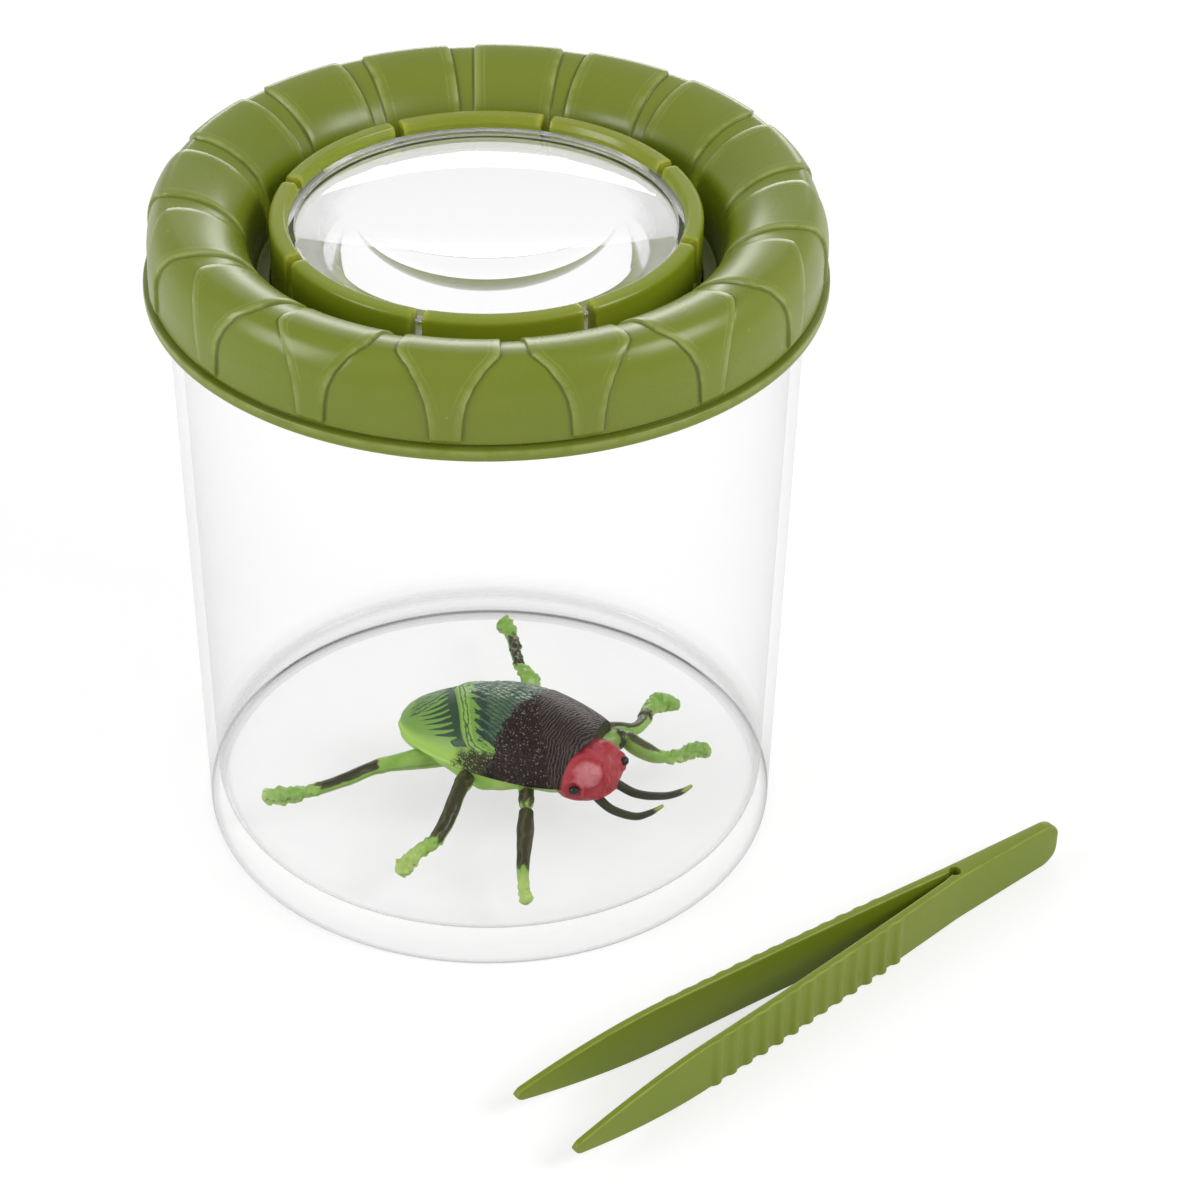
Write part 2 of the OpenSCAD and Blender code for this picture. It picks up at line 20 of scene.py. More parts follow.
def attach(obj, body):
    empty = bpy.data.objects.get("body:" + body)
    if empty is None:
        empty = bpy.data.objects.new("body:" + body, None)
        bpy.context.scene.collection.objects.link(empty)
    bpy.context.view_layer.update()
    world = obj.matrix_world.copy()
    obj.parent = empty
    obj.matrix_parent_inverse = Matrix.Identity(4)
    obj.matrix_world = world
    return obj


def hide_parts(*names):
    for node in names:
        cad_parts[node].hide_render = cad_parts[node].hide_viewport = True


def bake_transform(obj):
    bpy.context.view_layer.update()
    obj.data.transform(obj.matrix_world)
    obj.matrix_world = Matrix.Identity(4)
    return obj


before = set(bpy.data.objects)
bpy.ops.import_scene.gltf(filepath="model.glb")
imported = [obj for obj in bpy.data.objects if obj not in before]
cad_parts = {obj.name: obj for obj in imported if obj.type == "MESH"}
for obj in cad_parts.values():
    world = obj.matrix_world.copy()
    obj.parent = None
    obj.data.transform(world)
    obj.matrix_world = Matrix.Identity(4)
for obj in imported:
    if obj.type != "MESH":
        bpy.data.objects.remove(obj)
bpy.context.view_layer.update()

MM = 0.001

Rgb = tuple[float, float, float]
Place = tuple[float, float, float]
Point = tuple[float, float]
Table = tuple[tuple[float, float], ...]
Number = float | int

WHITE = (1.0, 1.0, 1.0)
PLASTIC_IOR = 1.49
TOY_IOR = 1.45

log = logging.getLogger("bug_catcher_jar")


class Slot(Enum):
    """The material slots of the record."""

    CLEAR = "clear_plastic"
    LENS = "lens_plastic"
    LID = "lid_green"
    CLIP = "clip_green"
    TWEEZERS = "tweezers_green"
    LIME = "toy_lime"
    LEAF = "toy_leaf"
    DARK = "toy_dark"
    RED = "toy_red"
    BLACK = "toy_black"


class Side(Enum):
    """The side of the beetle or of the tweezers, as the sign of its Y."""

    LEFT = 1
    RIGHT = -1


# Shapes


def smooth_rise(low: float, high: float, value: np.ndarray | float) -> np.ndarray:
    """Rises smoothly from 0 at low to 1 at high.

    Args:
        low: Where the rise starts.
        high: Where it ends, above or below low.
        value: The value or values to look up.

    Returns:
        The height of the rise at each value.
    """
    t = np.clip((np.asarray(value, float) - low) / (high - low), 0.0, 1.0)
    return t * t * (3.0 - 2.0 * t)


def hump(middle: float, reach: float, value: np.ndarray | float) -> np.ndarray:
    """A smooth hump, 1 at its middle and 0 from reach away."""
    return smooth_rise(reach, 0.0, np.abs(np.asarray(value, float) - middle))


def looked_up(table: Table, value: np.ndarray | float) -> np.ndarray:
    """The height at each value of a line through a table's places and heights."""
    return np.interp(value, *zip(*table))


def unit(vectors: np.ndarray) -> np.ndarray:
    """The vectors at length 1."""
    return vectors / np.linalg.norm(vectors, axis=-1, keepdims=True)


def off_line(points: np.ndarray, start: np.ndarray, end: np.ndarray) -> np.ndarray:
    """Distance of each point to the straight stretch from start to end, which may be one place.

    Args:
        points: The points.
        start: Where the stretch starts.
        end: Where it ends.

    Returns:
        The distances.
    """
    run = end - start
    share = np.clip(((points - start) @ run) / (run @ run or 1.0), 0.0, 1.0)
    return np.linalg.norm(points - (start + share[..., None] * run), axis=-1)


def arc(centre: Point, radii: Point, start: float, end: float, steps: int) -> list[Point]:
    """Points on a part of an ellipse, with angles in degrees."""
    turns = np.radians(np.linspace(start, end, steps + 1))
    return [(centre[0] + radii[0] * math.cos(t), centre[1] + radii[1] * math.sin(t)) for t in turns]


def filleted(corners: Sequence[Place], steps: int = 5, closed: bool = True) -> np.ndarray:
    """Rounds the corners of an outline.

    Args:
        corners: Places in the plane, each with the radius of its fillet, or 0 for a point on a curve.
        steps: How many pieces a fillet has.
        closed: Whether the last corner joins the first.

    Returns:
        The outline's points, one row each.
    """
    points: list[np.ndarray] = []
    count = len(corners)
    for i, (x, y, radius) in enumerate(corners):
        here = np.array([x, y], float)
        if radius <= 0 or (not closed and i in (0, count - 1)):
            points.append(here)
            continue
        back = np.array(corners[i - 1][:2], float) - here
        on = np.array(corners[(i + 1) % count][:2], float) - here
        reach = min(np.linalg.norm(back), np.linalg.norm(on))
        back, on = back / np.linalg.norm(back), on / np.linalg.norm(on)
        half = math.acos(float(np.clip(back @ on, -1.0, 1.0))) / 2
        cut = min(radius / math.tan(half), reach * 0.49)
        a, b = here + back * cut, here + on * cut
        for s in np.linspace(0.0, 1.0, steps + 1):
            points.append(a * (1 - s) ** 2 + here * 2 * s * (1 - s) + b * s * s)
    return np.array(points)


@dataclass
class Grid:
    """Rows of points that quads join.

    Attributes:
        points: Rows by columns by three, in millimetres.
        wrap_rows: Whether the last row joins the first.
        wrap_columns: Whether the last column joins the first.
        masks: Values between 0 and 1 for each point, by name, which the finishes read.
    """

    points: np.ndarray
    wrap_rows: bool = False
    wrap_columns: bool = False
    masks: dict[str, np.ndarray] = field(default_factory=dict)

    def quads(self) -> np.ndarray:
        """The quads as four point numbers each.

        Returns:
            One row for each quad.
        """
        rows, columns = self.points.shape[:2]
        index = np.arange(rows * columns).reshape(rows, columns)
        r0 = np.arange(rows if self.wrap_rows else rows - 1)
        c0 = np.arange(columns if self.wrap_columns else columns - 1)
        r1, c1 = (r0 + 1) % rows, (c0 + 1) % columns
        corners = ((r0, c0), (r0, c1), (r1, c1), (r1, c0))
        return np.stack([index[np.ix_(r, c)] for r, c in corners], axis=-1).reshape(-1, 4)

    def normals(self) -> np.ndarray:
        """A unit normal for each point, from its neighbours in the grid.

        Returns:
            The normals, in the grid's own rows and columns.
        """
        p = self.points

        def slope(axis: int, wrap: bool) -> np.ndarray:
            """The step from one neighbour to the next along an axis."""
            ahead, behind = np.roll(p, -1, axis), np.roll(p, 1, axis)
            if not wrap:
                first, last = [slice(None)] * 3, [slice(None)] * 3
                first[axis], last[axis] = 0, -1
                behind[tuple(first)], ahead[tuple(last)] = p[tuple(first)], p[tuple(last)]
            return ahead - behind

        n = np.cross(slope(0, self.wrap_rows), slope(1, self.wrap_columns))
        return n / np.maximum(np.linalg.norm(n, axis=-1, keepdims=True), 1e-12)


def cap(ring: np.ndarray, masks: dict[str, float] | None = None) -> Grid:
    """Closes a ring of points with a flat fan.

    Args:
        ring: The ring's points, one row each.
        masks: A constant value for each mask of the piece.

    Returns:
        A grid of two rows, whose second row is the ring's middle.
    """
    middle = np.repeat(ring.mean(axis=0)[None], len(ring), axis=0)
    values = {name: np.full((2, len(ring)), value) for name, value in (masks or {}).items()}
    return Grid(np.stack([ring, middle]), wrap_columns=True, masks=values)


def revolved(profile: np.ndarray, columns: int, closed: bool = True) -> Grid:
    """Turns an outline of radius and height about the Z axis.

    Args:
        profile: Radius and height of each point of the outline.
        columns: How many steps the turn has.
        closed: Whether the outline's last point joins its first.

    Returns:
        The grid, one row for each point of the outline.
    """
    turns = np.linspace(0.0, 2 * math.pi, columns, endpoint=False)
    r, z = profile[:, :1], profile[:, 1:]
    points = np.stack([r * np.cos(turns), r * np.sin(turns), z + 0 * turns], axis=-1)
    return Grid(points, wrap_rows=closed, wrap_columns=True)


def placed(points: np.ndarray, turn: float, shift: Place) -> np.ndarray:
    """Turns points about the Z axis by degrees and then shifts them."""
    c, s = math.cos(math.radians(turn)), math.sin(math.radians(turn))
    return points @ np.array([[c, s, 0.0], [-s, c, 0.0], [0.0, 0.0, 1.0]]) + np.array(shift)


def grain(points: np.ndarray, pitch: float, seed: float = 0.0) -> np.ndarray:
    """Smooth noise between about -1 and 1 at each point.

    Args:
        points: Places in millimetres, with three values in the last axis.
        pitch: Size of one bump.
        seed: Shifts the noise, so that two uses differ.

    Returns:
        One value for each point.
    """
    flat = points.reshape(-1, 3) / pitch + seed
    values = np.fromiter((noise.noise(Vector(p)) for p in flat), float, len(flat))
    return values.reshape(points.shape[:-1])


def pebbles(points: np.ndarray, pitch: float, seed: float = 0.0) -> np.ndarray:
    """Round pebbles with creases between them.

    Args:
        points: Places in millimetres, with three values in the last axis.
        pitch: Size of one pebble.
        seed: Shifts the pebbles.

    Returns:
        1 for each point on top of a pebble, down to 0 in a crease.
    """
    steepness = 1.6
    flat = points.reshape(-1, 3) / pitch + seed
    values = np.empty(len(flat))
    for i, p in enumerate(flat):
        gaps = noise.voronoi(Vector(p))[0]
        values[i] = gaps[1] - gaps[0]
    return np.clip(values.reshape(points.shape[:-1]) * steepness, 0.0, 1.0)


def piece(name: str, grids: Sequence[Grid], finish: "Finish", sharp: float = 40.0) -> bpy.types.Object:
    """Makes one closed piece of one or more grids.

    Args:
        name: The piece's name.
        grids: Its grids, whose masks have the same names.
        finish: The finish that it wears.
        sharp: Angle in degrees from which an edge is left sharp.

    Returns:
        The new object, in the scene.
    """
    faces, start = [], 0
    for grid in grids:
        faces.append(grid.quads() + start)
        start += grid.points.shape[0] * grid.points.shape[1]
    mesh = bpy.data.meshes.new(name)
    points = np.concatenate([g.points.reshape(-1, 3) for g in grids]) * MM
    mesh.from_pydata(points, [], np.concatenate(faces))
    for mask in grids[0].masks:
        values = np.concatenate([g.masks[mask].ravel() for g in grids])
        mesh.attributes.new(mask, "FLOAT", "POINT").data.foreach_set("value", values.astype(np.float32))
    shape = bmesh.new()
    shape.from_mesh(mesh)
    bmesh.ops.remove_doubles(shape, verts=shape.verts, dist=1e-7)
    bmesh.ops.dissolve_degenerate(shape, edges=shape.edges, dist=1e-8)
    bmesh.ops.recalc_face_normals(shape, faces=shape.faces)
    for face in shape.faces:
        face.smooth = True
    shape.to_mesh(mesh)
    shape.free()
    mesh.set_sharp_from_angle(angle=math.radians(sharp))
    mesh.materials.append(finish.material())
    thing = bpy.data.objects.new(name, mesh)
    bpy.context.scene.collection.objects.link(thing)
    log.info("%s: %d faces", name, len(mesh.polygons))
    return thing


# Shaders


class Sock:
    """A value in a shader, on which Python's operators add Math nodes."""

    def __init__(self, shader: "Shader", socket: bpy.types.NodeSocket) -> None:
        """Wraps an output socket of a shader's node."""
        self.shader = shader
        self.socket = socket

    def _math(self, operation: str, first: Any, second: Any = 0.0, clamp: bool = False) -> "Sock":
        """The result of a Math node on two values."""
        settings = {"operation": operation, "use_clamp": clamp}
        made = self.shader.node("ShaderNodeMath", settings, {0: first, 1: second})
        return Sock(self.shader, made.outputs[0])

    def __add__(self, other: "Sock | Number") -> "Sock":
        """This value plus another."""
        return self._math("ADD", self, other)

    def __radd__(self, other: Number) -> "Sock":
        """A number plus this value."""
        return self._math("ADD", other, self)

    def __sub__(self, other: "Sock | Number") -> "Sock":
        """This value minus another."""
        return self._math("SUBTRACT", self, other)

    def __rsub__(self, other: Number) -> "Sock":
        """A number minus this value."""
        return self._math("SUBTRACT", other, self)

    def __mul__(self, other: "Sock | Number") -> "Sock":
        """This value times another."""
        return self._math("MULTIPLY", self, other)

    def __rmul__(self, other: Number) -> "Sock":
        """A number times this value."""
        return self._math("MULTIPLY", other, self)

    def __pow__(self, other: "Sock | Number") -> "Sock":
        """This value to a power."""
        return self._math("POWER", self, other)

    def clamped(self) -> "Sock":
        """This value, kept between 0 and 1."""
        return self._math("ADD", self, 0.0, clamp=True)

    def wave(self) -> "Sock":
        """A wave between 0 and 1 that repeats each time this value grows by 1."""
        return self._math("SINE", self * (2 * math.pi)) * 0.5 + 0.5

    def rise(self, low: float, high: float) -> "Sock":
        """A smooth rise from 0 where this value is low to 1 where it is high.

        Args:
            low: Where the rise starts.
            high: Where it ends.

        Returns:
            Its height.
        """
        made = self.shader.node(
            "ShaderNodeMapRange",
            {"interpolation_type": "SMOOTHSTEP", "clamp": True},
            {"Value": self, "From Min": low, "From Max": high, "To Min": 0.0, "To Max": 1.0},
        )
        return Sock(self.shader, made.outputs["Result"])


class Shader:
    """The nodes of one material or of the world."""

    def __init__(self, owner: bpy.types.Material | bpy.types.World) -> None:
        """Empties the owner's node tree and fills it anew.

        Args:
            owner: The material or the world.
        """
        owner.use_nodes = True
        self.tree = owner.node_tree
        self.tree.nodes.clear()
        self._place: bpy.types.NodeSocket | None = None

    def node(
        self, kind: str, settings: dict[str, Any] | None = None, inputs: dict[Any, Any] | None = None
    ) -> Any:
        """Adds a node.

        Args:
            kind: The node's type.
            settings: Its own settings, such as a Math node's operation.
            inputs: Values or links of its sockets, by name or number.

        Returns:
            The new node.
        """
        made = self.tree.nodes.new(kind)
        for name, value in (settings or {}).items():
            setattr(made, name, value)
        for name, value in (inputs or {}).items():
            socket = made.inputs[name]
            if isinstance(value, Sock):
                self.tree.links.new(value.socket, socket)
            elif isinstance(value, bpy.types.NodeSocket):
                self.tree.links.new(value, socket)
            elif isinstance(value, tuple) and len(value) == 3 and socket.type == "RGBA":
                socket.default_value = (*value, 1.0)
            else:
                socket.default_value = value
        return made

    def made(self, kind: str, inputs: dict[Any, Any]) -> bpy.types.NodeSocket:
        """The first output of a new node that has no settings."""
        return self.node(kind, inputs=inputs).outputs[0]

    def place(self) -> bpy.types.NodeSocket:
        """The place on the piece, in metres of its own frame.

        Returns:
            The socket that gives it.
        """
        if self._place is None:
            self._place = self.node("ShaderNodeTexCoord").outputs["Object"]
        return self._place

    def mask(self, name: str) -> Sock:
        """A mask that the piece's mesh carries."""
        return Sock(self, self.node("ShaderNodeAttribute", {"attribute_name": name}).outputs["Fac"])

    def noise(
        self, pitch: float, detail: float = 2.0, roughness: float = 0.5, stretch: Rgb = (1, 1, 1)
    ) -> Sock:
        """Smooth noise.

        Args:
            pitch: Size of a bump in millimetres.
            detail: How many finer layers it has.
            roughness: How strong the finer layers are.
            stretch: Scale along each axis.

        Returns:
            The noise, between 0 and 1.
        """
        where = self.made("ShaderNodeMapping", {"Vector": self.place(), "Scale": stretch})
        inputs = {"Vector": where, "Scale": 1.0 / (pitch * MM), "Detail": detail, "Roughness": roughness}
        return Sock(self, self.node("ShaderNodeTexNoise", inputs=inputs).outputs["Fac"])

    def cells(self, pitch: float) -> Sock:
        """Distance to the nearest point of a scatter, about 0 to 1 over a pitch in millimetres."""
        made = self.node("ShaderNodeTexVoronoi", inputs={"Vector": self.place(), "Scale": 1.0 / (pitch * MM)})
        return Sock(self, made.outputs["Distance"])

    def mix(self, factor: Sock | Number, first: Any, second: Any) -> bpy.types.NodeSocket:
        """A colour between two others.

        Args:
            factor: 0 for the first colour and 1 for the second.
            first: A colour or its socket.
            second: Another.

        Returns:
            The socket of the mixed colour.
        """
        settings = {"data_type": "RGBA", "clamp_factor": True}
        return self.node("ShaderNodeMix", settings, {0: factor, 6: first, 7: second}).outputs[2]

    def bump(self, height: Sock, depth: float) -> bpy.types.NodeSocket:
        """A normal from a height between 0 and 1 that stands for a depth in millimetres."""
        inputs = {"Strength": 1.0, "Distance": depth * MM, "Height": height}
        return self.node("ShaderNodeBump", inputs=inputs).outputs["Normal"]

    def facing(self, blend: float = 0.5) -> Sock:
        """Nearly 0 where the surface faces the eye and 1 at its outline."""
        return Sock(self, self.node("ShaderNodeLayerWeight", inputs={"Blend": blend}).outputs["Facing"])

    def ray(self, *kinds: str) -> Sock:
        """1 for rays of any of these kinds.

        Args:
            kinds: Names of the light path's outputs.

        Returns:
            1 or 0.
        """
        path = self.node("ShaderNodeLightPath")
        total = Sock(self, path.outputs[kinds[0]])
        for kind in kinds[1:]:
            total = total + Sock(self, path.outputs[kind])
        return total.clamped()

    def mix_shaders(self, factor: Sock | Number, first: Any, second: Any) -> bpy.types.NodeSocket:
        """One shader for a factor of 0 and another for 1."""
        return self.made("ShaderNodeMixShader", {0: factor, 1: first, 2: second})

    def finish(self, surface: bpy.types.NodeSocket) -> None:
        """Makes a shader the one that shows."""
        kind = "World" if isinstance(self.tree.id_data, bpy.types.World) else "Material"
        self.tree.links.new(surface, self.node(f"ShaderNodeOutput{kind}").inputs["Surface"])


@dataclass(frozen=True)
class Finish:
    """A finish that pieces wear. Each kind of finish adds its own way to mix it.

    Attributes:
        name: The material's name.
        slot: The record's slot that it stands for; not used.
    """

    name: str
    slot: Slot

    def material(self) -> bpy.types.Material:
        """The finish's material, made once.

        Returns:
            The material.
        """
        found = bpy.data.materials.get(self.name)
        if found is None:
            found = bpy.data.materials.new(self.name)
            shader = Shader(found)
            shader.finish(self.surface(shader))
        return found

    def surface(self, shader: Shader) -> bpy.types.NodeSocket:
        """The shader that gives the surface its look."""
        raise NotImplementedError


@dataclass(frozen=True)
class MouldedGreen(Finish):
    """Satin moulded plastic with faint clouds of colour and paler edges, which are a painted highlight with
    some wear.

    The mesh's mask "edge" says where that painted highlight lies along the edges, and its other mask says
    where painted shade lies in the grooves beside them.

    Attributes:
        colour: The plastic's own colour.
        cloud: The colour of the faint clouds in it.
        edge: The colour of the painted highlight along the edges, with some wear, and of the pale specks.
        crease: The colour of the painted shade in the grooves beside the edges.
        roughness: How matt the skin of the moulding is.
        relief: Depth of the waves in its skin.
        gloss: How strongly it mirrors, 0.5 for plain plastic.
    """

    colour: Rgb
    cloud: Rgb
    edge: Rgb
    crease: Rgb = (0.07, 0.09, 0.008)
    roughness: float = 0.28
    relief: float = 0.012
    gloss: float = 0.45

    def surface(self, shader: Shader) -> bpy.types.NodeSocket:
        """Clouded colour, a fine grain and a satin gloss.

        Args:
            shader: The shader to build in.

        Returns:
            The surface's output.
        """
        clouds = shader.noise(26.0, detail=3.0).rise(0.35, 0.7)
        colour = shader.mix(clouds * 0.7, self.colour, self.cloud)
        speck = shader.noise(1.1, detail=1.0).rise(0.74, 0.84)
        colour = shader.mix(speck * 0.35, colour, self.edge)
        # Paler edges where the edge mask is: painted highlight, with some wear.
        painted_highlight = shader.mask("edge") * (shader.noise(4.0, detail=2.0).rise(0.34, 0.6) * 0.75 + 0.25)
        colour = shader.mix(painted_highlight.clamped() * 0.8, colour, self.edge)
        # Painted shade in the grooves beside the edges.
        colour = shader.mix(shader.mask("crease") * 0.6, colour, self.crease)
        skin = shader.noise(0.55, detail=2.0) * 0.5 + shader.noise(3.2, detail=2.0) * 0.5
        rough = shader.noise(9.0, detail=2.0) * 0.12 + (self.roughness - 0.06)
        return shader.made("ShaderNodeBsdfPrincipled", {
            "Base Color": colour, "Roughness": rough,
            "Normal": shader.bump(skin, self.relief), "IOR": PLASTIC_IOR,
            "Specular IOR Level": self.gloss,
        })


@dataclass(frozen=True)
class ClearWall(Finish):
    """Clear plastic that shows as faint greys where it is seen edge-on and where its mask says: where it is
    thick, and as painted shade where it bends the light away.

    Attributes:
        tint: The colour of the plastic where it shows.
        veil: How much of it shows face-on.
        rim: How much more of it shows along its outline.
        roughness: How matt it is.
    """

    tint: Rgb
    veil: float
    rim: float
    roughness: float = 0.12

    def surface(self, shader: Shader) -> bpy.types.NodeSocket:
        """A see-through shader with a glossy grey one where the wall shows.

        Args:
            shader: The shader to build in.

        Returns:
            The surface's output.
        """
        clear = shader.made("ShaderNodeBsdfTransparent", {"Color": WHITE})
        body = shader.made(
            "ShaderNodeBsdfPrincipled",
            {"Base Color": self.tint, "Roughness": self.roughness, "IOR": PLASTIC_IOR}
        )
        shown = shader.facing(0.3) ** 3.0 * self.rim + shader.mask("thick") + self.veil
        return shader.mix_shaders(shown.clamped(), clear, body)


@dataclass(frozen=True)
class PolishedLens(Finish):
    """Polished clear plastic that bends what is seen through it and lets light by.

    Attributes:
        glass: The colour of the clear part.
        frost: The colour of the frosted moulded edge, and of the painted shade on the lower face's outer
            band.
        frost_roughness: How matt the moulded edge is.
        let_by: The share of light that passes, as a colour.
    """

    glass: Rgb = (0.88, 0.88, 0.885)
    frost: Rgb = (0.74, 0.74, 0.73)
    frost_roughness: float = 0.3
    let_by: Rgb = (0.97, 0.97, 0.97)

    def surface(self, shader: Shader) -> bpy.types.NodeSocket:
        """Glass for the eye and nothing for the lamps.

        Args:
            shader: The shader to build in.

        Returns:
            The surface's output.
        """
        kind = "ShaderNodeBsdfPrincipled"
        glass = shader.made(
            kind, {"Base Color": self.glass, "Roughness": 0.0, "IOR": PLASTIC_IOR, "Transmission Weight": 1.0}
        )
        frost = shader.made(
            kind, {"Base Color": self.frost, "Roughness": self.frost_roughness, "IOR": PLASTIC_IOR}
        )
        clear = shader.made("ShaderNodeBsdfTransparent", {"Color": self.let_by})
        # Frosted at the moulded edge, and grey on the lower face's outer band as painted shade.
        body = shader.mix_shaders(shader.mask("frost") * 0.85, glass, frost)
        return shader.mix_shaders(shader.ray("Is Shadow Ray"), body, clear)


@dataclass(frozen=True)
class ToyPaint(Finish):
    """Painted soft toy plastic: two colours that the mesh's paint mask parts.

    Attributes:
        colour: The main colour.
        second: The colour where the paint mask is 1.
        roughness: How matt it is.
        pitch: Size of the bumps in its skin.
        relief: Depth of those bumps.
        gloss: How strongly it mirrors, 0.5 for plain plastic.
        soft: Half the width of the blend between the two colours.
        through: How much light it lets through, tinted by its colour.
    """

    colour: Rgb
    second: Rgb
    roughness: float = 0.4
    pitch: float = 0.9
    relief: float = 0.08
    gloss: float = 0.28
    soft: float = 0.15
    through: float = 0.0

    def surface(self, shader: Shader) -> bpy.types.NodeSocket:
        """Two clouded colours, a fine relief and a soft gloss.

        Args:
            shader: The shader to build in.

        Returns:
            The surface's output.
        """
        ragged = shader.mask("paint") + (shader.noise(1.3, detail=3.0) - 0.5) * 0.6
        colour = shader.mix(ragged.rise(0.5 - self.soft, 0.5 + self.soft), self.colour, self.second)
        tone = shader.noise(3.0, detail=3.0).rise(0.35, 0.75)
        colour = shader.mix(tone * 0.25, colour, shader.mix(0.5, colour, self.second))
        height = shader.cells(self.pitch) * 0.6 + shader.noise(self.pitch * 0.6, detail=2.0) * 0.4
        return self.body(shader, colour, shader.bump(height, self.relief))

    def body(self, shader: Shader, colour: Any, normal: Any) -> bpy.types.NodeSocket:
        """The plastic under a colour and a relief.

        Args:
            shader: The material's shader.
            colour: The socket of its colour.
            normal: The socket of its relief.

        Returns:
            The plastic, which tints the light that it lets through.
        """
        rough = shader.noise(2.0) * 0.15 + (self.roughness - 0.07)
        plastic = shader.made("ShaderNodeBsdfPrincipled", {
            "Base Color": colour, "Roughness": rough, "Normal": normal,
            "IOR": TOY_IOR, "Specular IOR Level": self.gloss,
        })
        if not self.through:
            return plastic
        tint = tuple(min(1.0, 2.0 * c) for c in self.colour)
        let_by = shader.made("ShaderNodeBsdfTransparent", {"Color": tint})
        return shader.mix_shaders(shader.ray("Is Shadow Ray") * self.through, plastic, let_by)


@dataclass(frozen=True)
class LimbPaint(ToyPaint):
    """Paint of a leg or horn: dark on its upper face, in streaks along it, and pale at its end.

    Attributes:
        pale: The colour at the end of the limb, and of a painted glow of light through the plastic along its
            underside.
        painted_highlight: The colour of the paler streaks on top of the dark paint, which are painted
            highlights.
    """

    pale: Rgb = (0.46, 0.64, 0.17)
    painted_highlight: Rgb = (0.13, 0.095, 0.045)

    def surface(self, shader: Shader) -> bpy.types.NodeSocket:
        """Dark streaks over the plastic's own colour.

        Args:
            shader: The shader to build in.

        Returns:
            The surface's output.
        """
        streak = (shader.mask("around") * 5.0 + shader.noise(2.4, detail=2.0) * 1.6).wave()
        ragged = shader.mask("paint") + (streak - 0.5) * 0.35 + (shader.noise(0.8, detail=3.0) - 0.5) * 0.6
        up = shader.mask("up")
        plain = shader.mix(shader.noise(2.2, detail=2.0).rise(0.3, 0.7) * 0.35, self.colour, self.pale)
        # Paler along the underside: a painted glow of light through the plastic.
        plain = shader.mix((0.55 - up).rise(-0.2, 0.35) * 0.6, plain, self.pale)
        plain = shader.mix(shader.mask("tip"), plain, self.pale)
        # Paler streaks on top of the dark paint: painted highlights.
        brown = shader.mix((streak * up).rise(0.5, 0.85) * 0.5, self.second, self.painted_highlight)
        colour = shader.mix(ragged.rise(0.3, 0.72) * 0.95, plain, brown)
        height = streak * 0.5 + shader.noise(self.pitch, detail=2.0) * 0.5
        return self.body(shader, colour, shader.bump(height, self.relief))


@dataclass(frozen=True)
class WingPaint(ToyPaint):
    """Paint of the wing cases: teal and dark strokes over light green, with fine veins.

    Attributes:
        teal: The colour towards the thorax.
        lime: The colour of the bare rim.
        bronze: The colour of the pebbles by the rim.
        grit: The colour between those pebbles.
        pale: The colour of the painted sheen along cracks in the skin near the seam.
    """

    teal: Rgb = (0.075, 0.14, 0.088)
    lime: Rgb = (0.42, 0.66, 0.13)
    bronze: Rgb = (0.34, 0.35, 0.12)
    grit: Rgb = (0.035, 0.03, 0.014)
    pale: Rgb = (0.4, 0.52, 0.38)

    def surface(self, shader: Shader) -> bpy.types.NodeSocket:
        """Layers of paint, each broken up by noise.

        Args:
            shader: The shader to build in.

        Returns:
            The surface's output.
        """
        jitter = shader.noise(0.75, detail=3.0) - 0.5
        crack = shader.noise(0.8, detail=4.0, roughness=0.7, stretch=(0.45, 1.2, 1.2)).rise(0.5, 0.56)
        teal = (shader.mask("teal") + jitter * 0.9).rise(0.3, 0.7)
        colour = shader.mix(teal, self.colour, shader.mix(crack * 0.3, self.teal, self.colour))
        # Pale crack lines near the seam: painted sheen.
        colour = shader.mix((shader.mask("pale") + jitter * 0.7).rise(0.4, 0.8) * crack, colour, self.pale)
        colour = shader.mix(shader.mask("rim"), colour, self.lime)
        vein = shader.mask("vein") + shader.noise(2.2, detail=3.0) * 1.5 + jitter * 0.8
        vein = vein.wave().rise(0.45, 0.92)
        vein = vein * (shader.mask("veined") + jitter * 0.6).rise(0.3, 0.6)
        stroke = (shader.mask("stroke") + jitter * 0.55).rise(0.36, 0.6)
        colour = shader.mix(vein * 0.8, colour, self.second)
        colour = shader.mix(stroke * 0.92, colour, self.second)
        pebble = shader.cells(0.5).rise(0.42, 0.15)
        grit = (shader.mask("grit") * 1.25 + jitter * 0.9 - pebble * 0.5).rise(0.16, 0.72)
        colour = shader.mix(grit * 0.94, colour, shader.mix(pebble, self.grit, self.bronze))
        height = (1.0 - vein) * 0.45 + (1.0 - stroke) * 0.3 + pebble * grit * 0.6 + crack * teal * 0.4
        return self.body(shader, colour, shader.bump(height, self.relief))


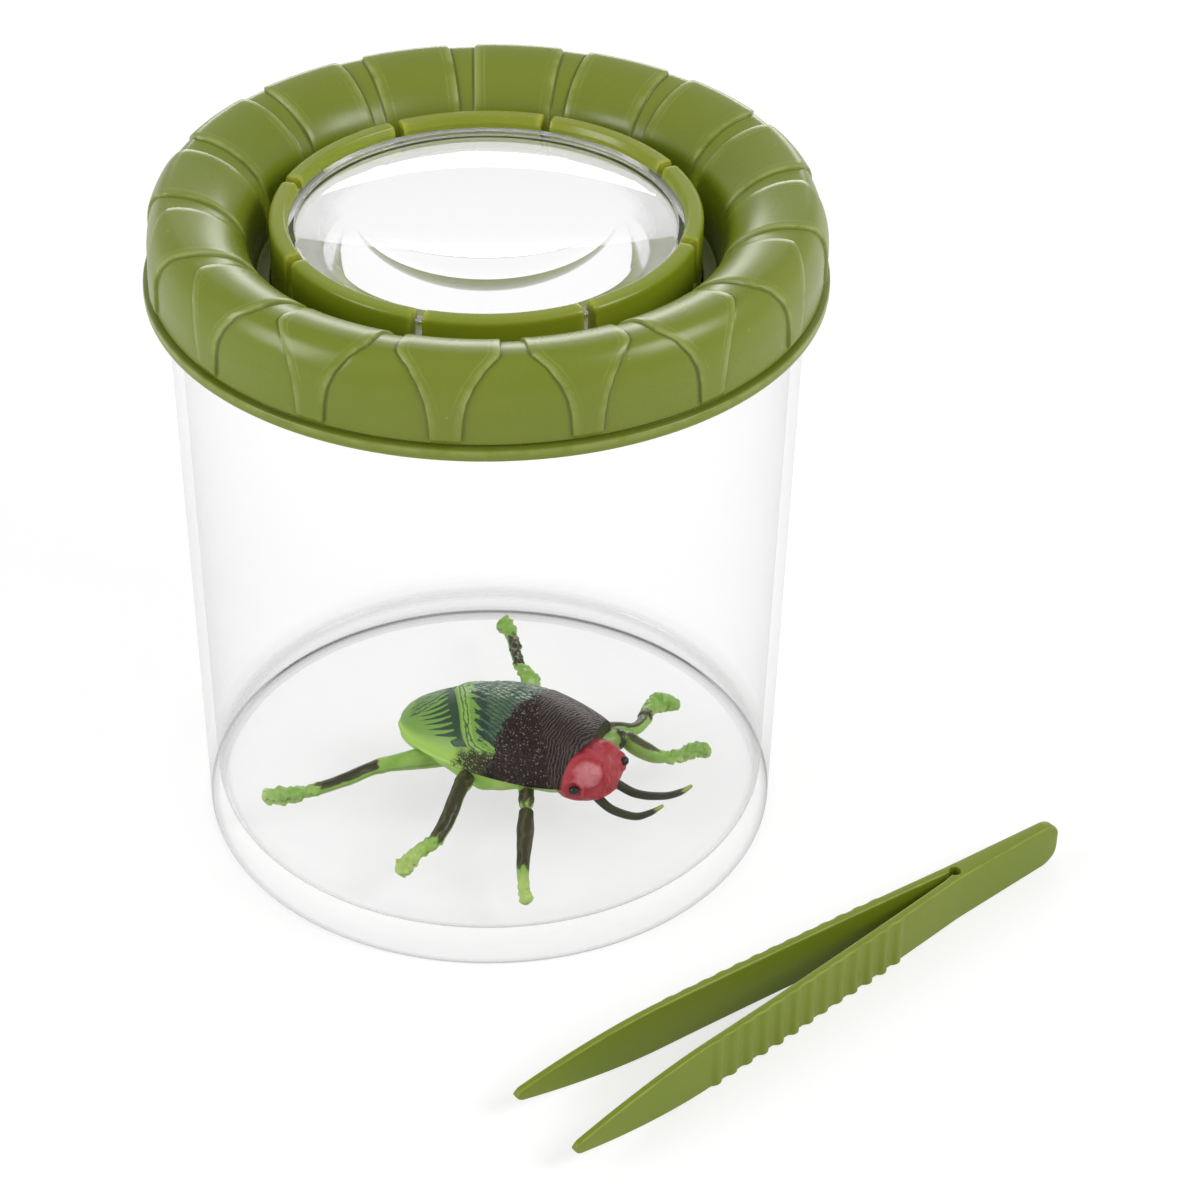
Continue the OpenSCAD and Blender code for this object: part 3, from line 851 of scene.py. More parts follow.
@dataclass(frozen=True)
class ThoraxPaint(ToyPaint):
    """Paint of the thorax: dark, with painted glints on small pebbles behind and wrinkles round the head in
    front, whose lines take painted sheen.

    Attributes:
        bronze: The colour of the pebbles low on its side.
    """

    bronze: Rgb = (0.36, 0.33, 0.15)

    def surface(self, shader: Shader) -> bpy.types.NodeSocket:
        """Pebbles and wrinkles, both in colour and in relief: the pale pebble tops are painted glints and the
        pale wrinkle lines painted sheen.

        Args:
            shader: The shader to build in.

        Returns:
            The surface's output.
        """
        jitter = shader.noise(0.9, detail=3.0) - 0.5
        pebble = shader.cells(0.52).rise(0.38, 0.1) * shader.noise(0.9, detail=1.0).rise(0.32, 0.6)
        wrinkle = shader.mask("ring") + jitter * 0.9 + shader.noise(2.6, detail=3.0) * 2.6
        wrinkle = wrinkle.wave().rise(0.45, 1.0)
        front = (shader.mask("wrinkled") + jitter * 0.5).rise(0.35, 0.65)
        sheen = shader.mask("sheen") * 0.4 + 0.25
        # Pale pebble tops are painted glints and pale wrinkle lines painted sheen, stronger on the upper
        # side; low on the side the pebbles turn to bronze paint.
        light = pebble * (1.0 - front) + wrinkle * front * sheen + pebble * front * 0.1
        pale = shader.mix(shader.mask("grit"), self.second, self.bronze)
        colour = shader.mix(light.clamped(), self.colour, pale)
        height = pebble * (1.0 - front) + wrinkle * front * 0.9
        return self.body(shader, colour, shader.bump(height, self.relief))


# The edge colours below are painted highlights along edges, with some wear; the grooves beside them take
# painted shade.
LID_GREEN = MouldedGreen(
    "moulded_lid", Slot.LID, colour=(0.185, 0.24, 0.012), cloud=(0.215, 0.25, 0.022), edge=(0.4, 0.46, 0.14),
)
CLIP_GREEN = MouldedGreen(
    "moulded_clips", Slot.CLIP, colour=(0.24, 0.3, 0.014), cloud=(0.28, 0.31, 0.02), edge=(0.46, 0.46, 0.05),
    roughness=0.26,
)
TWEEZERS_GREEN = MouldedGreen(
    "moulded_tweezers", Slot.TWEEZERS, colour=(0.185, 0.25, 0.008), cloud=(0.21, 0.26, 0.014),
    edge=(0.27, 0.34, 0.045), roughness=0.4,
)
JAR_CLEAR = ClearWall("jar_clear", Slot.CLEAR, tint=(0.7, 0.69, 0.71), veil=0.004, rim=0.55)
LENS_CLEAR = PolishedLens("lens_clear", Slot.LENS)
BELLY_LIME = ToyPaint(
    "toy_belly", Slot.LIME, colour=(0.34, 0.58, 0.1), second=(0.46, 0.66, 0.17), roughness=0.36, soft=0.4,
    through=0.7,
)
# For legs and horns, the paler streaks on top are painted highlights and the pale underside a painted glow.
LEG_LIME = LimbPaint(
    "toy_leg", Slot.LIME, colour=(0.22, 0.42, 0.065), second=(0.024, 0.015, 0.008), roughness=0.34, pitch=0.6,
    relief=0.1, gloss=0.4, through=0.7,
)
HORN_DARK = LimbPaint(
    "toy_horn", Slot.DARK, colour=(0.2, 0.34, 0.07), second=(0.02, 0.012, 0.008), roughness=0.3, pitch=0.7,
    relief=0.04, gloss=0.45, pale=(0.36, 0.46, 0.1), painted_highlight=(0.07, 0.06, 0.04),
)
WING_LEAF = WingPaint(
    "toy_wings", Slot.LEAF, colour=(0.2, 0.38, 0.075), second=(0.02, 0.05, 0.035),
    roughness=0.34, relief=0.14,
)
# The thorax's second colour is that of its painted glints and sheen.
THORAX_DARK = ThoraxPaint(
    "toy_thorax", Slot.DARK, colour=(0.017, 0.008, 0.007), second=(0.33, 0.27, 0.24),
    roughness=0.34, relief=0.14,
)
HEAD_RED = ToyPaint(
    "toy_head", Slot.RED, colour=(0.43, 0.035, 0.048), second=(0.62, 0.21, 0.23), roughness=0.36, pitch=0.7,
    soft=0.38,
)
EYE_BLACK = ToyPaint(
    "toy_eye", Slot.BLACK, colour=(0.008, 0.006, 0.006), second=(0.02, 0.01, 0.01), roughness=0.12,
    relief=0.01, gloss=0.6,
)


# The lid


@dataclass
class Lid:
    """The lid: a rounded ring with raised petals, a skirt with a bead, and a well for the lens.

    The values are those of the CAD model, with fillets of its own. Across a petal, a place is a share of half
    the pitch: 0 in the middle of the petal and 1 in the middle of the gap beside it.
    """

    jar_h: float = 114.0
    skirt_in_r: float = 53.0
    skirt_r: float = 55.2
    skirt_z: float = 106.3
    bead_r: float = 56.2
    bead_h: float = 2.1
    bead_gap: float = 0.1
    groove_h: float = 0.9
    top_z: float = 122.2
    outer_curve_h: float = 8.6
    inner_curve_h: float = 13.2
    crest_r: float = 50.9
    well_r: float = 38.0
    well_z: float = 107.1
    hole_r: float = 35.5
    wall: float = 1.6
    seat_w: float = 1.7
    seat_h: float = 3.0
    petals: int = 16
    petal_turn: float = 16.5
    petal_out: float = 0.45
    petal_edge: float = 0.17
    petal_foot_share: float = 0.205
    under_share: float = 0.5
    crease_share: float = 0.16
    # A faint line of painted highlight inside each petal, and painted highlight along the bead.
    ghost_in: float = 1.7
    ghost_w: float = 0.3
    ghost_highlight: float = 0.35
    bead_highlight: float = 0.55
    curve_steps: int = 26
    petal_shares: Table = (
        (0.0, 0.205), (0.2, 0.215), (0.42, 0.235), (0.61, 0.285), (0.77, 0.39), (0.91, 0.55), (0.97, 0.68),
        (1.0, 0.77),
    )
    inner_shares: Table = ((38.0, 0.84), (50.9, 0.78))

    @property
    def groove_z(self) -> float:
        """Height of the groove above the bead."""
        return self.skirt_z + self.bead_h + self.bead_gap

    def face(self, depth: float, low_z: float, inner_low_z: float) -> list[Point]:
        """The ring's face from the skirt over the crest to the well.

        Args:
            depth: How far it is let in below the outer face.
            low_z: Height at which it starts on the skirt or on the outer curve.
            inner_low_z: Height at which it ends in the well.

        Returns:
            Radius and height of each point.
        """
        knee_z = self.top_z - self.outer_curve_h
        a, b = self.skirt_r - self.crest_r - depth, self.outer_curve_h - depth
        start = math.degrees(math.asin(max(0.0, low_z - knee_z) / b))
        heights = np.linspace(low_z, knee_z, 9)[:-1] if low_z < knee_z else []
        skirt = [(self.skirt_r - depth, z) for z in heights]
        inner = (self.crest_r - self.well_r - depth, self.inner_curve_h - depth)
        return [
            *skirt,
            *arc((self.crest_r, knee_z), (a, b), start, 90, self.curve_steps),
            *arc((self.crest_r, self.top_z - self.inner_curve_h), inner, 90, 180, self.curve_steps + 8)[1:],
            (self.well_r + depth, inner_low_z),
        ]

    def petal_share(self, r: float, z: float, inner: bool) -> float:
        """Half width of a petal at a place on the face, as a share of half the pitch.

        Args:
            r: Radius of the place.
            z: Height of the place.
            inner: Whether the place is on the well's side of the crest.

        Returns:
            The share.
        """
        if inner:
            return float(looked_up(self.inner_shares, r))
        return float(looked_up(self.petal_shares, (z - self.skirt_z) / (self.top_z - self.skirt_z)))

    def section(self) -> tuple[list[Point], int, int, int]:
        """The lid's outline, round from the inner edge of its skirt.

        Returns:
            Radius and height of each point, and the numbers of the points where the face, the well and the
            underside start.
        """
        groove_z = self.groove_z
        rim = filleted([
            (self.skirt_in_r, self.skirt_z + 2.0, 0.0), (self.skirt_in_r, self.skirt_z, 0.35),
            (self.bead_r, self.skirt_z, 0.85), (self.bead_r, groove_z - self.bead_gap, 0.45),
            (self.skirt_r - 0.4, groove_z, 0.1), (self.skirt_r, groove_z + 0.5, 0.15),
            (self.skirt_r, groove_z + self.groove_h, 0.0),
        ], closed=False)[1:-1]
        outer = self.face(0.0, groove_z + self.groove_h, self.well_z)
        shell_r = self.well_r + self.wall
        well = filleted([
            (*outer[-2], 0.0), (*outer[-1], 0.5), (self.hole_r, self.well_z, 0.3),
            (self.hole_r, self.well_z - self.wall, 0.3), (shell_r, self.well_z - self.wall, 0.5),
            (shell_r, self.well_z, 0.0),
        ], closed=False)[1:-1]
        under = self.face(self.wall, self.jar_h + self.seat_h, self.well_z)[::-1]
        seat_r = self.skirt_in_r - self.seat_w
        seat = filleted([
            (*under[-1], 0.0), (seat_r, self.jar_h + self.seat_h / 2, 0.3), (seat_r, self.jar_h, 0.3),
            (self.skirt_in_r, self.jar_h, 0.2), (self.skirt_in_r, self.skirt_z, 0.0),
        ], closed=False)[1:-1]
        rows = [tuple(p) for part in (rim, outer[:-1], well, under, seat) for p in part]
        face_at, well_at = len(rim), len(rim) + len(outer) - 1
        return rows, face_at, well_at, well_at + len(well)

    def petal_relief(self, r: float, z: float, share: float) -> tuple[np.ndarray, ...]:
        """The relief across one petal and the gap after it, on one row of the face.

        Args:
            r: Radius of the row.
            z: Height of the row.
            share: Half width of the petal.

        Returns:
            The places of the columns, and at each the height, the painted highlight on the lip of the petal's
            edge and on a faint line inside the petal, and the painted shade at the edge's foot.
        """
        half_l = r * (math.pi / self.petals)
        reach, ghost_w = self.petal_edge / half_l, self.ghost_w / half_l
        ghost_at = share - self.ghost_in / half_l
        columns = np.concatenate([
            np.linspace(0.0, 1.0, 4)[:-1] * (ghost_at - ghost_w),
            ghost_at + ghost_w * np.linspace(-1.0, 1.0, 6),
            share + reach * np.linspace(-1.0, 1.0, 8)[:-1],
            share + reach + np.linspace(0.0, 1.0, 7)[:-1] ** 1.5 * (1 - share - reach),
        ])
        lift = 1.0 - smooth_rise(share - reach, share + reach, columns)
        lift -= hump(share + reach * 0.8, reach * 1.6, columns) * self.crease_share
        above = z - self.skirt_z
        raised = 0.3 + 0.7 * float(smooth_rise(3.0, 11.0, above))
        # Painted highlight on the lip of the petal's edge, fainter low down, and on a faint line inside the
        # petal.
        lip = hump(share - reach * 0.5, reach * 1.7, columns) * raised
        ghost = hump(ghost_at, ghost_w, columns) * self.ghost_highlight
        lip = lip + ghost * float(smooth_rise(6.0, 12.0, above))
        # Painted shade at the foot of the petal's edge.
        foot = hump(share + reach * 1.2, reach * 1.8, columns)
        places = np.concatenate([columns, [1.0], 2.0 - columns[:0:-1]])
        return places, *(np.concatenate([v, [0.0], v[:0:-1]]) for v in (lift, lip, foot))

    def build(self) -> bpy.types.Object:
        """Makes the lid and lets it stand for its solid.

        Returns:
            The lid.
        """
        rows, face_at, well_at, under_at = self.section()
        groove_z = self.groove_z
        crest = max(range(face_at, well_at), key=lambda i: rows[i][1])
        half = math.pi / self.petals
        points, edges, creases = [], [], []
        for i, (r, z) in enumerate(rows):
            on_rim, on_face = i < face_at, face_at <= i < well_at
            share = self.under_share if i >= under_at else self.petal_share(r, z, i > crest)
            places, lift, lip, foot = self.petal_relief(r, z, self.petal_foot_share if on_rim else share)
            over_groove = float(smooth_rise(0.0, 0.9, z - groove_z - 0.5))
            shown = over_groove * float(smooth_rise(0.05, 3.05, r - self.well_r))
            shown *= float(on_face)
            turns = np.concatenate([half * (places + 2 * k) for k in range(self.petals)])
            turns += math.radians(self.petal_turn)
            (r0, z0), (r1, z1) = rows[max(i - 1, 0)], rows[min(i + 1, len(rows) - 1)]
            size = math.hypot(r1 - r0, z1 - z0)
            out = np.tile(lift * self.petal_out * shown, self.petals)
            rr, zz = r + out * (z1 - z0) / size, z - out * (r1 - r0) / size
            points.append(np.stack([rr * np.cos(turns), rr * np.sin(turns), zz], axis=-1))
            on_bead = on_rim and r > self.skirt_r + 0.3
            # Painted highlight along the top of the bead.
            bright = float(hump(groove_z - 0.5, 0.7, z)) * self.bead_highlight * float(on_bead)
            edges.append(np.maximum(np.tile(lip * shown, self.petals), bright))
            # A line of painted shade in the groove above the bead.
            line = float(hump(groove_z + 0.15, 0.5, z)) * float(on_rim)
            creases.append(np.maximum(np.tile(foot * shown, self.petals), line))
        masks = {"edge": np.array(edges), "crease": np.array(creases)}
        grid = Grid(np.array(points), wrap_rows=True, wrap_columns=True, masks=masks)
        made = piece("lid", [grid], LID_GREEN, sharp=60.0)
        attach(made, "lid")
        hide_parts("lid_cap")
        return made


# The clips and the lens


@dataclass
class ClipRing:
    """The ring under the lens and its eight clips."""

    in_r: float = 33.0
    out_r: float = 35.3
    flange_r: float = 38.4
    ledge_r: float = 31.0
    low_z: float = 104.0
    flange_z: float = 105.5
    ledge_z: float = 108.8
    seat_z: float = 110.3
    top_z: float = 118.5
    hook_r: float = 32.2
    hook_z: float = 116.4
    root_in: float = 0.4
    clips: int = 8
    slot: float = 1.8
    slot_turn: float = 27.5
    columns: int = 256
    clip_steps: int = 22
    clip_end: float = 1.2
    end_rounding: Table = ((0.0, 0.88), (0.12, 0.95), (0.32, 0.985), (0.6, 1.0))

    def base(self) -> Grid:
        """The ring that carries the clips, with its flange and its ledge.

        Returns:
            Its skin.
        """
        ring = revolved(filleted([
            (self.in_r, self.low_z, 0.2), (self.flange_r, self.low_z, 0.3),
            (self.flange_r, self.flange_z, 0.3), (self.out_r, self.flange_z, 0.3),
            (self.out_r, self.seat_z, 0.15), (self.ledge_r, self.seat_z, 0.3),
            (self.ledge_r, self.ledge_z, 0.3), (self.in_r, self.ledge_z, 0.2),
        ]), self.columns)
        ring.masks = {"edge": np.zeros(ring.points.shape[:2])}
        return ring

    def clip(self, start: float) -> list[Grid]:
        """One clip: its hooked section, led round the ring and drawn in at its ends.

        Args:
            start: Where it starts round the ring, in radians.

        Returns:
            Its skin and its two ends.
        """
        root_z = self.seat_z - self.root_in
        outline = filleted([
            (self.out_r, root_z, 0.0), (self.out_r, self.top_z, 1.1), (self.hook_r + 0.55, self.top_z, 0.5),
            (self.hook_r, self.hook_z + 0.9, 0.4), (self.hook_r, self.hook_z, 0.15),
            (self.in_r, self.hook_z, 0.2), (self.in_r, root_z, 0.0),
        ], steps=6)
        middle = outline.mean(axis=0)
        span = 2 * math.pi / self.clips - 2 * (self.slot / 2 / self.out_r)
        ends, inset = (np.array(column) for column in zip(*self.end_rounding))
        end = self.clip_end / self.out_r
        turns = start + np.concatenate([
            ends / self.out_r, np.linspace(end, span - end, self.clip_steps), span - ends[::-1] / self.out_r
        ])
        sizes = np.concatenate([inset, np.ones(self.clip_steps), inset[::-1]])
        rows = []
        for turn, size in zip(turns, sizes):
            r, z = (middle + (outline - middle) * size).T
            rows.append(np.stack([r * math.cos(turn), r * math.sin(turn), z], axis=-1))
        skin = Grid(np.array(rows), wrap_columns=True)
        # Paler at the clip's ends, high up, and on its end faces: painted highlight.
        near_end = smooth_rise(1.4, 0.0, np.minimum(turns - turns[0], turns[-1] - turns) * self.out_r)
        high = smooth_rise(self.top_z - 2.5, self.top_z - 0.3, outline[:, 1])
        skin.masks = {"edge": near_end[:, None] * high[None]}
        return [skin, cap(skin.points[0], {"edge": 0.5}), cap(skin.points[-1], {"edge": 0.5})]

    def build(self) -> bpy.types.Object:
        """Makes the ring with its clips in one piece and lets it stand for its solid.

        Returns:
            The ring.
        """
        grids = [self.base()]
        for k in range(self.clips):
            turn = math.radians(self.slot_turn) + k * (2 * math.pi / self.clips)
            grids += self.clip(turn + self.slot / 2 / self.out_r)
        made = piece("clip_ring", grids, CLIP_GREEN, sharp=50.0)
        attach(made, "lid")
        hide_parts("lens_clip_ring")
        return made


@dataclass
class Lens:
    """The magnifying lens: a disc that bulges on both faces, with a raised flat rim."""

    radius: float = 32.8
    low_z: float = 110.3
    top_z: float = 116.3
    rim_w: float = 1.6
    rim_h: float = 0.5
    bulge_top: float = 4.6
    bulge_low: float = 4.0
    low_r: float = 30.8
    steps: int = 48
    columns: int = 256

    def dome(self, half_w: float, height: float, base_z: float) -> list[Point]:
        """A cap of a ball, from its axis out to its edge.

        Args:
            half_w: Radius of the cap's edge.
            height: Height of the cap, negative where it bulges down.
            base_z: Height of the cap's edge.

        Returns:
            Radius and height of each point.
        """
        ball = (half_w * half_w + height * height) / (2 * abs(height))
        sign = math.copysign(1.0, height)
        top = base_z + height
        places = np.linspace(0.0, half_w, self.steps + 1)
        return [(r, top - sign * (ball - math.sqrt(ball * ball - r * r))) for r in places]

    def build(self) -> bpy.types.Object:
        """Makes the lens and lets it stand for its solid.

        Returns:
            The lens.
        """
        dome_r = self.radius - self.rim_w
        upper = self.dome(dome_r, self.bulge_top, self.top_z - self.rim_h)
        lower = self.dome(self.low_r, -self.bulge_low, self.low_z)
        edge = filleted([
            (*lower[-2], 0.0), (*lower[-1], 0.3),
            (self.radius, self.low_z, 0.35), (self.radius, self.top_z, 0.3),
            (dome_r, self.top_z, 0.15), (*upper[-1], 0.1), (*upper[-2], 0.0),
        ], closed=False)[1:-1]
        profile = np.array([*lower[:-1], *edge, *upper[-2::-1]])
        grid = revolved(profile, self.columns, closed=False)
        r, z = profile.T
        outer = smooth_rise(self.low_r - 1.0, self.low_r + 0.6, r)
        side = outer * smooth_rise(self.top_z - 0.2, self.top_z - 1.0, z)
        # A grey band on the lower face at half strength: painted shade for the grey seen through the lens
        # there.
        below = smooth_rise(self.low_r - 7.0, self.low_r - 3.0, r) * (z < self.low_z) * 0.5
        grid.masks = {"frost": np.repeat(np.maximum(side, below)[:, None], self.columns, axis=1)}
        made = piece("lens", [grid], LENS_CLEAR)
        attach(made, "lid")
        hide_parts("lens")
        return made


# The jar


@dataclass
class Jar:
    """The clear jar: one wall with a recessed floor.

    The values whose names end in shown say how strongly a stretch of the plastic shows.
    """

    height: float = 114.0
    foot_r: float = 51.0
    rim_r: float = 52.7
    wall: float = 1.8
    foot_wall: float = 2.6
    recess: float = 4.0
    floor_t: float = 1.9
    floor_fillet: float = 2.24
    columns: int = 256
    row_h: float = 4.0
    floor_shown: float = 0.07
    fillet_shown: float = 0.42
    foot_shown: float = 0.22
    foot_line_shown: float = 0.85
    foot_wall_shown: float = 0.1
    rim_shown: float = 0.3
    recess_hidden: float = 0.32

    @property
    def floor_z(self) -> float:
        """Height of the floor's upper face."""
        return self.recess + self.floor_t

    @property
    def in_r(self) -> float:
        """Inner radius at the floor."""
        return self.foot_r + (self.rim_r - self.foot_r) * self.floor_z / self.height - self.wall

    def section(self) -> np.ndarray:
        """The jar's outline from the middle of its underside to the middle of its floor.

        Returns:
            Radius and height of each point, with long straight stretches divided.
        """
        foot_in_r = self.foot_r - self.foot_wall
        outline = filleted([
            (0.0, self.recess, 0.0), (foot_in_r, self.recess, 1.2),
            (foot_in_r, 0.0, 0.7), (self.foot_r, 0.0, 0.9),
            (self.rim_r, self.height, 0.6), (self.rim_r - self.wall, self.height, 0.6),
            (self.in_r, self.floor_z, self.floor_fillet), (0.0, self.floor_z, 0.0),
        ], steps=8, closed=False)
        dense = [outline[0]]
        for a, b in zip(outline[:-1], outline[1:]):
            steps = max(1, int(np.linalg.norm(b - a) // self.row_h))
            dense += [a + (b - a) * s / steps for s in range(1, steps + 1)]
        return np.array(dense)

    def thickness(self, r: np.ndarray, z: np.ndarray) -> np.ndarray:
        """How strongly the plastic shows: where it is thick, and as painted shade where it bends the light
        away.

        Args:
            r: Radius of each point of the outline.
            z: Height of each point.

        Returns:
            The strength at each point, negative in the recess under the floor.
        """
        floor_z, in_r = self.floor_z, self.in_r
        floor = smooth_rise(in_r, in_r - 3.0, r) * smooth_rise(floor_z + 1.0, floor_z, z) * self.floor_shown
        # The band along the floor's fillet: painted shade, where the plastic bends the light away.
        fillet = hump(in_r - 0.6, 1.8, r) * smooth_rise(floor_z + 3.2, floor_z + 0.4, z) * self.fillet_shown
        fillet *= smooth_rise(self.recess, floor_z, z)
        outside = smooth_rise(self.foot_r - 0.8, self.foot_r - 0.3, r)
        # A line of painted shade round the foot's edge.
        foot_line = hump(0.4, 0.45, z) * outside * self.foot_line_shown
        foot = smooth_rise(1.6, 0.0, z) * self.foot_shown + foot_line
        foot += smooth_rise(floor_z + 0.5, floor_z - 1.0, z) * outside * self.foot_wall_shown
        recessed = smooth_rise(self.foot_r - 0.9, self.foot_r - 1.6, r)
        under = recessed * smooth_rise(floor_z - 0.5, self.recess, z)
        lip = smooth_rise(self.height - 1.0, self.height - 0.1, z) * self.rim_shown
        return floor + fillet + foot + lip - under * self.recess_hidden

    def build(self) -> bpy.types.Object:
        """Makes the jar and lets it stand for its solid.

        Returns:
            The jar.
        """
        profile = self.section()
        grid = revolved(profile, self.columns, closed=False)
        grid.masks = {"thick": np.repeat(self.thickness(*profile.T)[:, None], self.columns, axis=1)}
        made = piece("jar", [grid], JAR_CLEAR)
        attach(made, "jar")
        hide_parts("jar_body")
        return made


# The tweezers


@dataclass
class Tweezers:
    """One-piece tweezers: a tail, a hole where the slit ends and two ribbed arms.

    Everything is drawn with the hole at the origin and the tips along +X, and then put in its place.
    """

    arm_l: float = 90.4
    tail_l: float = 25.2
    strip_h: float = 9.8
    arm_root_t: float = 1.6
    arm_tip_t: float = 1.3
    tail_end_t: float = 2.0
    tail_end_h: float = 8.8
    slit_w: float = 0.6
    hole_r: float = 1.1
    spread: float = 4.15
    bow: float = 0.55
    tip_h: float = 2.0
    tip_lift: float = 0.3
    ribs: int = 13
    rib_pitch: float = 3.6
    rib_out: float = 0.7
    rib_start: float = 15.0
    taper_power: float = 1.75
    joint_x: float = -1.3
    bend_x: float = 0.9
    round_r: float = 0.45
    corner_steps: int = 5
    place: Place = (80.6, -37.8, 0.0)
    turn: float = 218.0

    @property
    def ribs_end(self) -> float:
        """Where the grip ribs end."""
        return self.rib_start + self.rib_pitch * self.ribs

    @property
    def tip_round(self) -> float:
        """Length of the rounded tip of an arm."""
        return self.tip_h * 0.6

    @property
    def tail_round(self) -> float:
        """Corner radius of the tail's end, seen from the side."""
        return self.tail_end_h * 0.42

    def slit(self, x: float) -> float:
        """How far the inner face of a bowed arm stands from the middle plane at x."""
        straight = self.slit_w / 2 + x * math.tan(math.radians(self.spread))
        return straight + self.bow * 4 * x * (self.arm_l - x) / self.arm_l**2

    def inner_y(self, x: float) -> float:
        """How far an arm's inner face stands from the middle plane.

        Args:
            x: Place along the tweezers.

        Returns:
            The distance.
        """
        if x <= -self.hole_r:
            return 0.0
        hole = math.sqrt(max(0.0, self.hole_r**2 - x * x))
        return max(hole, self.slit(x) if x > 0 else 0.0)

    def outer_y(self, x: float) -> float:
        """How far an arm's outer face stands from the middle plane, without its ribs.

        Args:
            x: Place along the tweezers.

        Returns:
            The distance.
        """
        if x <= 0:
            root = self.slit_w / 2 + self.arm_root_t
            return self.tail_end_t / 2 + (root - self.tail_end_t / 2) * (1 + x / self.tail_l)
        return self.slit(x) + self.arm_root_t + (self.arm_tip_t - self.arm_root_t) * x / self.arm_l

    def rib(self, x: float) -> float:
        """How far the grip ribs stand out at x, each a little unlike the others.

        Args:
            x: Place along the tweezers.

        Returns:
            Their height.
        """
        place = (x - self.rib_start) / self.rib_pitch
        if place < 0 or place > self.ribs:
            return 0.0
        share = place % 1.0
        uneven = 0.8 + 0.2 * math.sin(7.3 * math.floor(place))
        return self.rib_out * uneven * float(smooth_rise(0.0, 0.25, share) * smooth_rise(0.75, 0.4, share))

    def half_height(self, x: float) -> tuple[float, float]:
        """Half height and middle height of an arm, which tapers past its ribs and is round at its tip.

        Args:
            x: Place along the tweezers.

        Returns:
            Both.
        """
        taper = max(0.0, (x - self.ribs_end) / (self.arm_l - self.ribs_end)) ** self.taper_power
        half = self.tip_h / 2 + (self.strip_h - self.tip_h) / 2 * (1 - taper)
        end = max(0.0, 1 - (self.arm_l - x) / self.tip_round)
        return half * math.sqrt(max(0.04, 1 - end * end)), self.strip_h / 2 + self.tip_lift * taper

    def section(self, low_y: float, high_y: float, half_h: float, mid_z: float, radii: Point) -> np.ndarray:
        """A rounded oblong of Y and Z.

        Args:
            low_y: Y of its one side.
            high_y: Y of its other side.
            half_h: Half its height.
            mid_z: Height of its middle.
            radii: Corner radius at low_y and at high_y.

        Returns:
            Its points, the same number each time.
        """
        points = []
        low_r, high_r = radii
        corners = (
            (high_y, 1, -1, high_r), (high_y, 1, 1, high_r), (low_y, -1, 1, low_r), (low_y, -1, -1, low_r),
        )
        limit = min((high_y - low_y) / 2, half_h) * 0.98
        for (y, side, up, radius), start in zip(corners, (-90, 0, 90, 180)):
            r = min(radius, limit)
            for t in np.radians(np.linspace(start, start + 90, self.corner_steps + 1)):
                points.append((y - side * r + r * math.cos(t), mid_z + up * (half_h - r) + r * math.sin(t)))
        return np.array(points)

    def body(
        self, stations: Sequence[float], section: Callable[[float], np.ndarray], flip: int
    ) -> list[Grid]:
        """A closed skin through the sections at the stations.

        Args:
            stations: Places along X.
            section: Gives the section at a place.
            flip: 1 or -1, the sign of Y.

        Returns:
            The skin and its two ends.
        """
        rows = []
        for x in stations:
            y, z = section(x).T
            rows.append(np.stack([np.full(len(y), x), y * flip, z], axis=-1))
        skin = Grid(placed(np.array(rows), self.turn, self.place), wrap_columns=True)
        # Paler along the rounded corners: painted highlight.
        in_corner = np.abs(np.arange(skin.points.shape[1]) % (self.corner_steps + 1) - self.corner_steps / 2)
        edge = looked_up(((0.5, 1.0), (1.5, 0.5), (2.5, 0.0)), in_corner)
        skin.masks = {"edge": np.repeat(edge[None], len(rows), axis=0)}
        return [skin, *(cap(skin.points[row], {"edge": 0.0}) for row in (0, -1))]

    def arm_section(self, x: float) -> np.ndarray:
        """The section of an arm at x, with its grip rib, which fades towards the upper edge.

        Args:
            x: Place along the tweezers.

        Returns:
            Its points, as rows of Y and Z.
        """
        half_h, mid_z = self.half_height(x)
        inner_r = self.round_r * float(smooth_rise(0.6, 3.0, x))
        points = self.section(self.inner_y(x), self.outer_y(x), half_h, mid_z, (inner_r, self.round_r))
        low = smooth_rise(mid_z + half_h, mid_z - half_h * 0.5, points[:, 1])
        outside = smooth_rise(self.inner_y(x) + 0.4, self.outer_y(x) - 0.2, points[:, 0])
        points[:, 0] += self.rib(x) * outside * (0.3 + 0.7 * low)
        return points

    def tail_section(self, x: float) -> np.ndarray:
        """The section of the tail at x, rounded towards its end from the side and from above.

        Args:
            x: Place along the tweezers.

        Returns:
            Its points, as rows of Y and Z.
        """

        def rounding(length: float) -> float:
            """Rises along a quarter circle from 0 at the tail's end to 1 at a length from it."""
            return math.sqrt(max(0.0, 1 - (1 - min(1.0, max(0.0, (x + self.tail_l) / length))) ** 2))

        height = self.tail_end_h + (self.strip_h - self.tail_end_h) * (1 + x / self.tail_l)
        half_h = height / 2 - self.tail_round * (1 - rounding(self.tail_round))
        half_w = self.outer_y(x) * (0.55 + 0.45 * rounding(0.9))
        return self.section(-half_w, half_w, half_h, height / 2, (self.round_r, self.round_r))

    def at(self, x: float) -> Place:
        """A place on the middle plane of the tweezers as a point of the frame, in metres."""
        point = placed(np.array([[x, 0.0, self.strip_h / 2]]), self.turn, self.place)[0] * MM
        return tuple(float(v) for v in point)

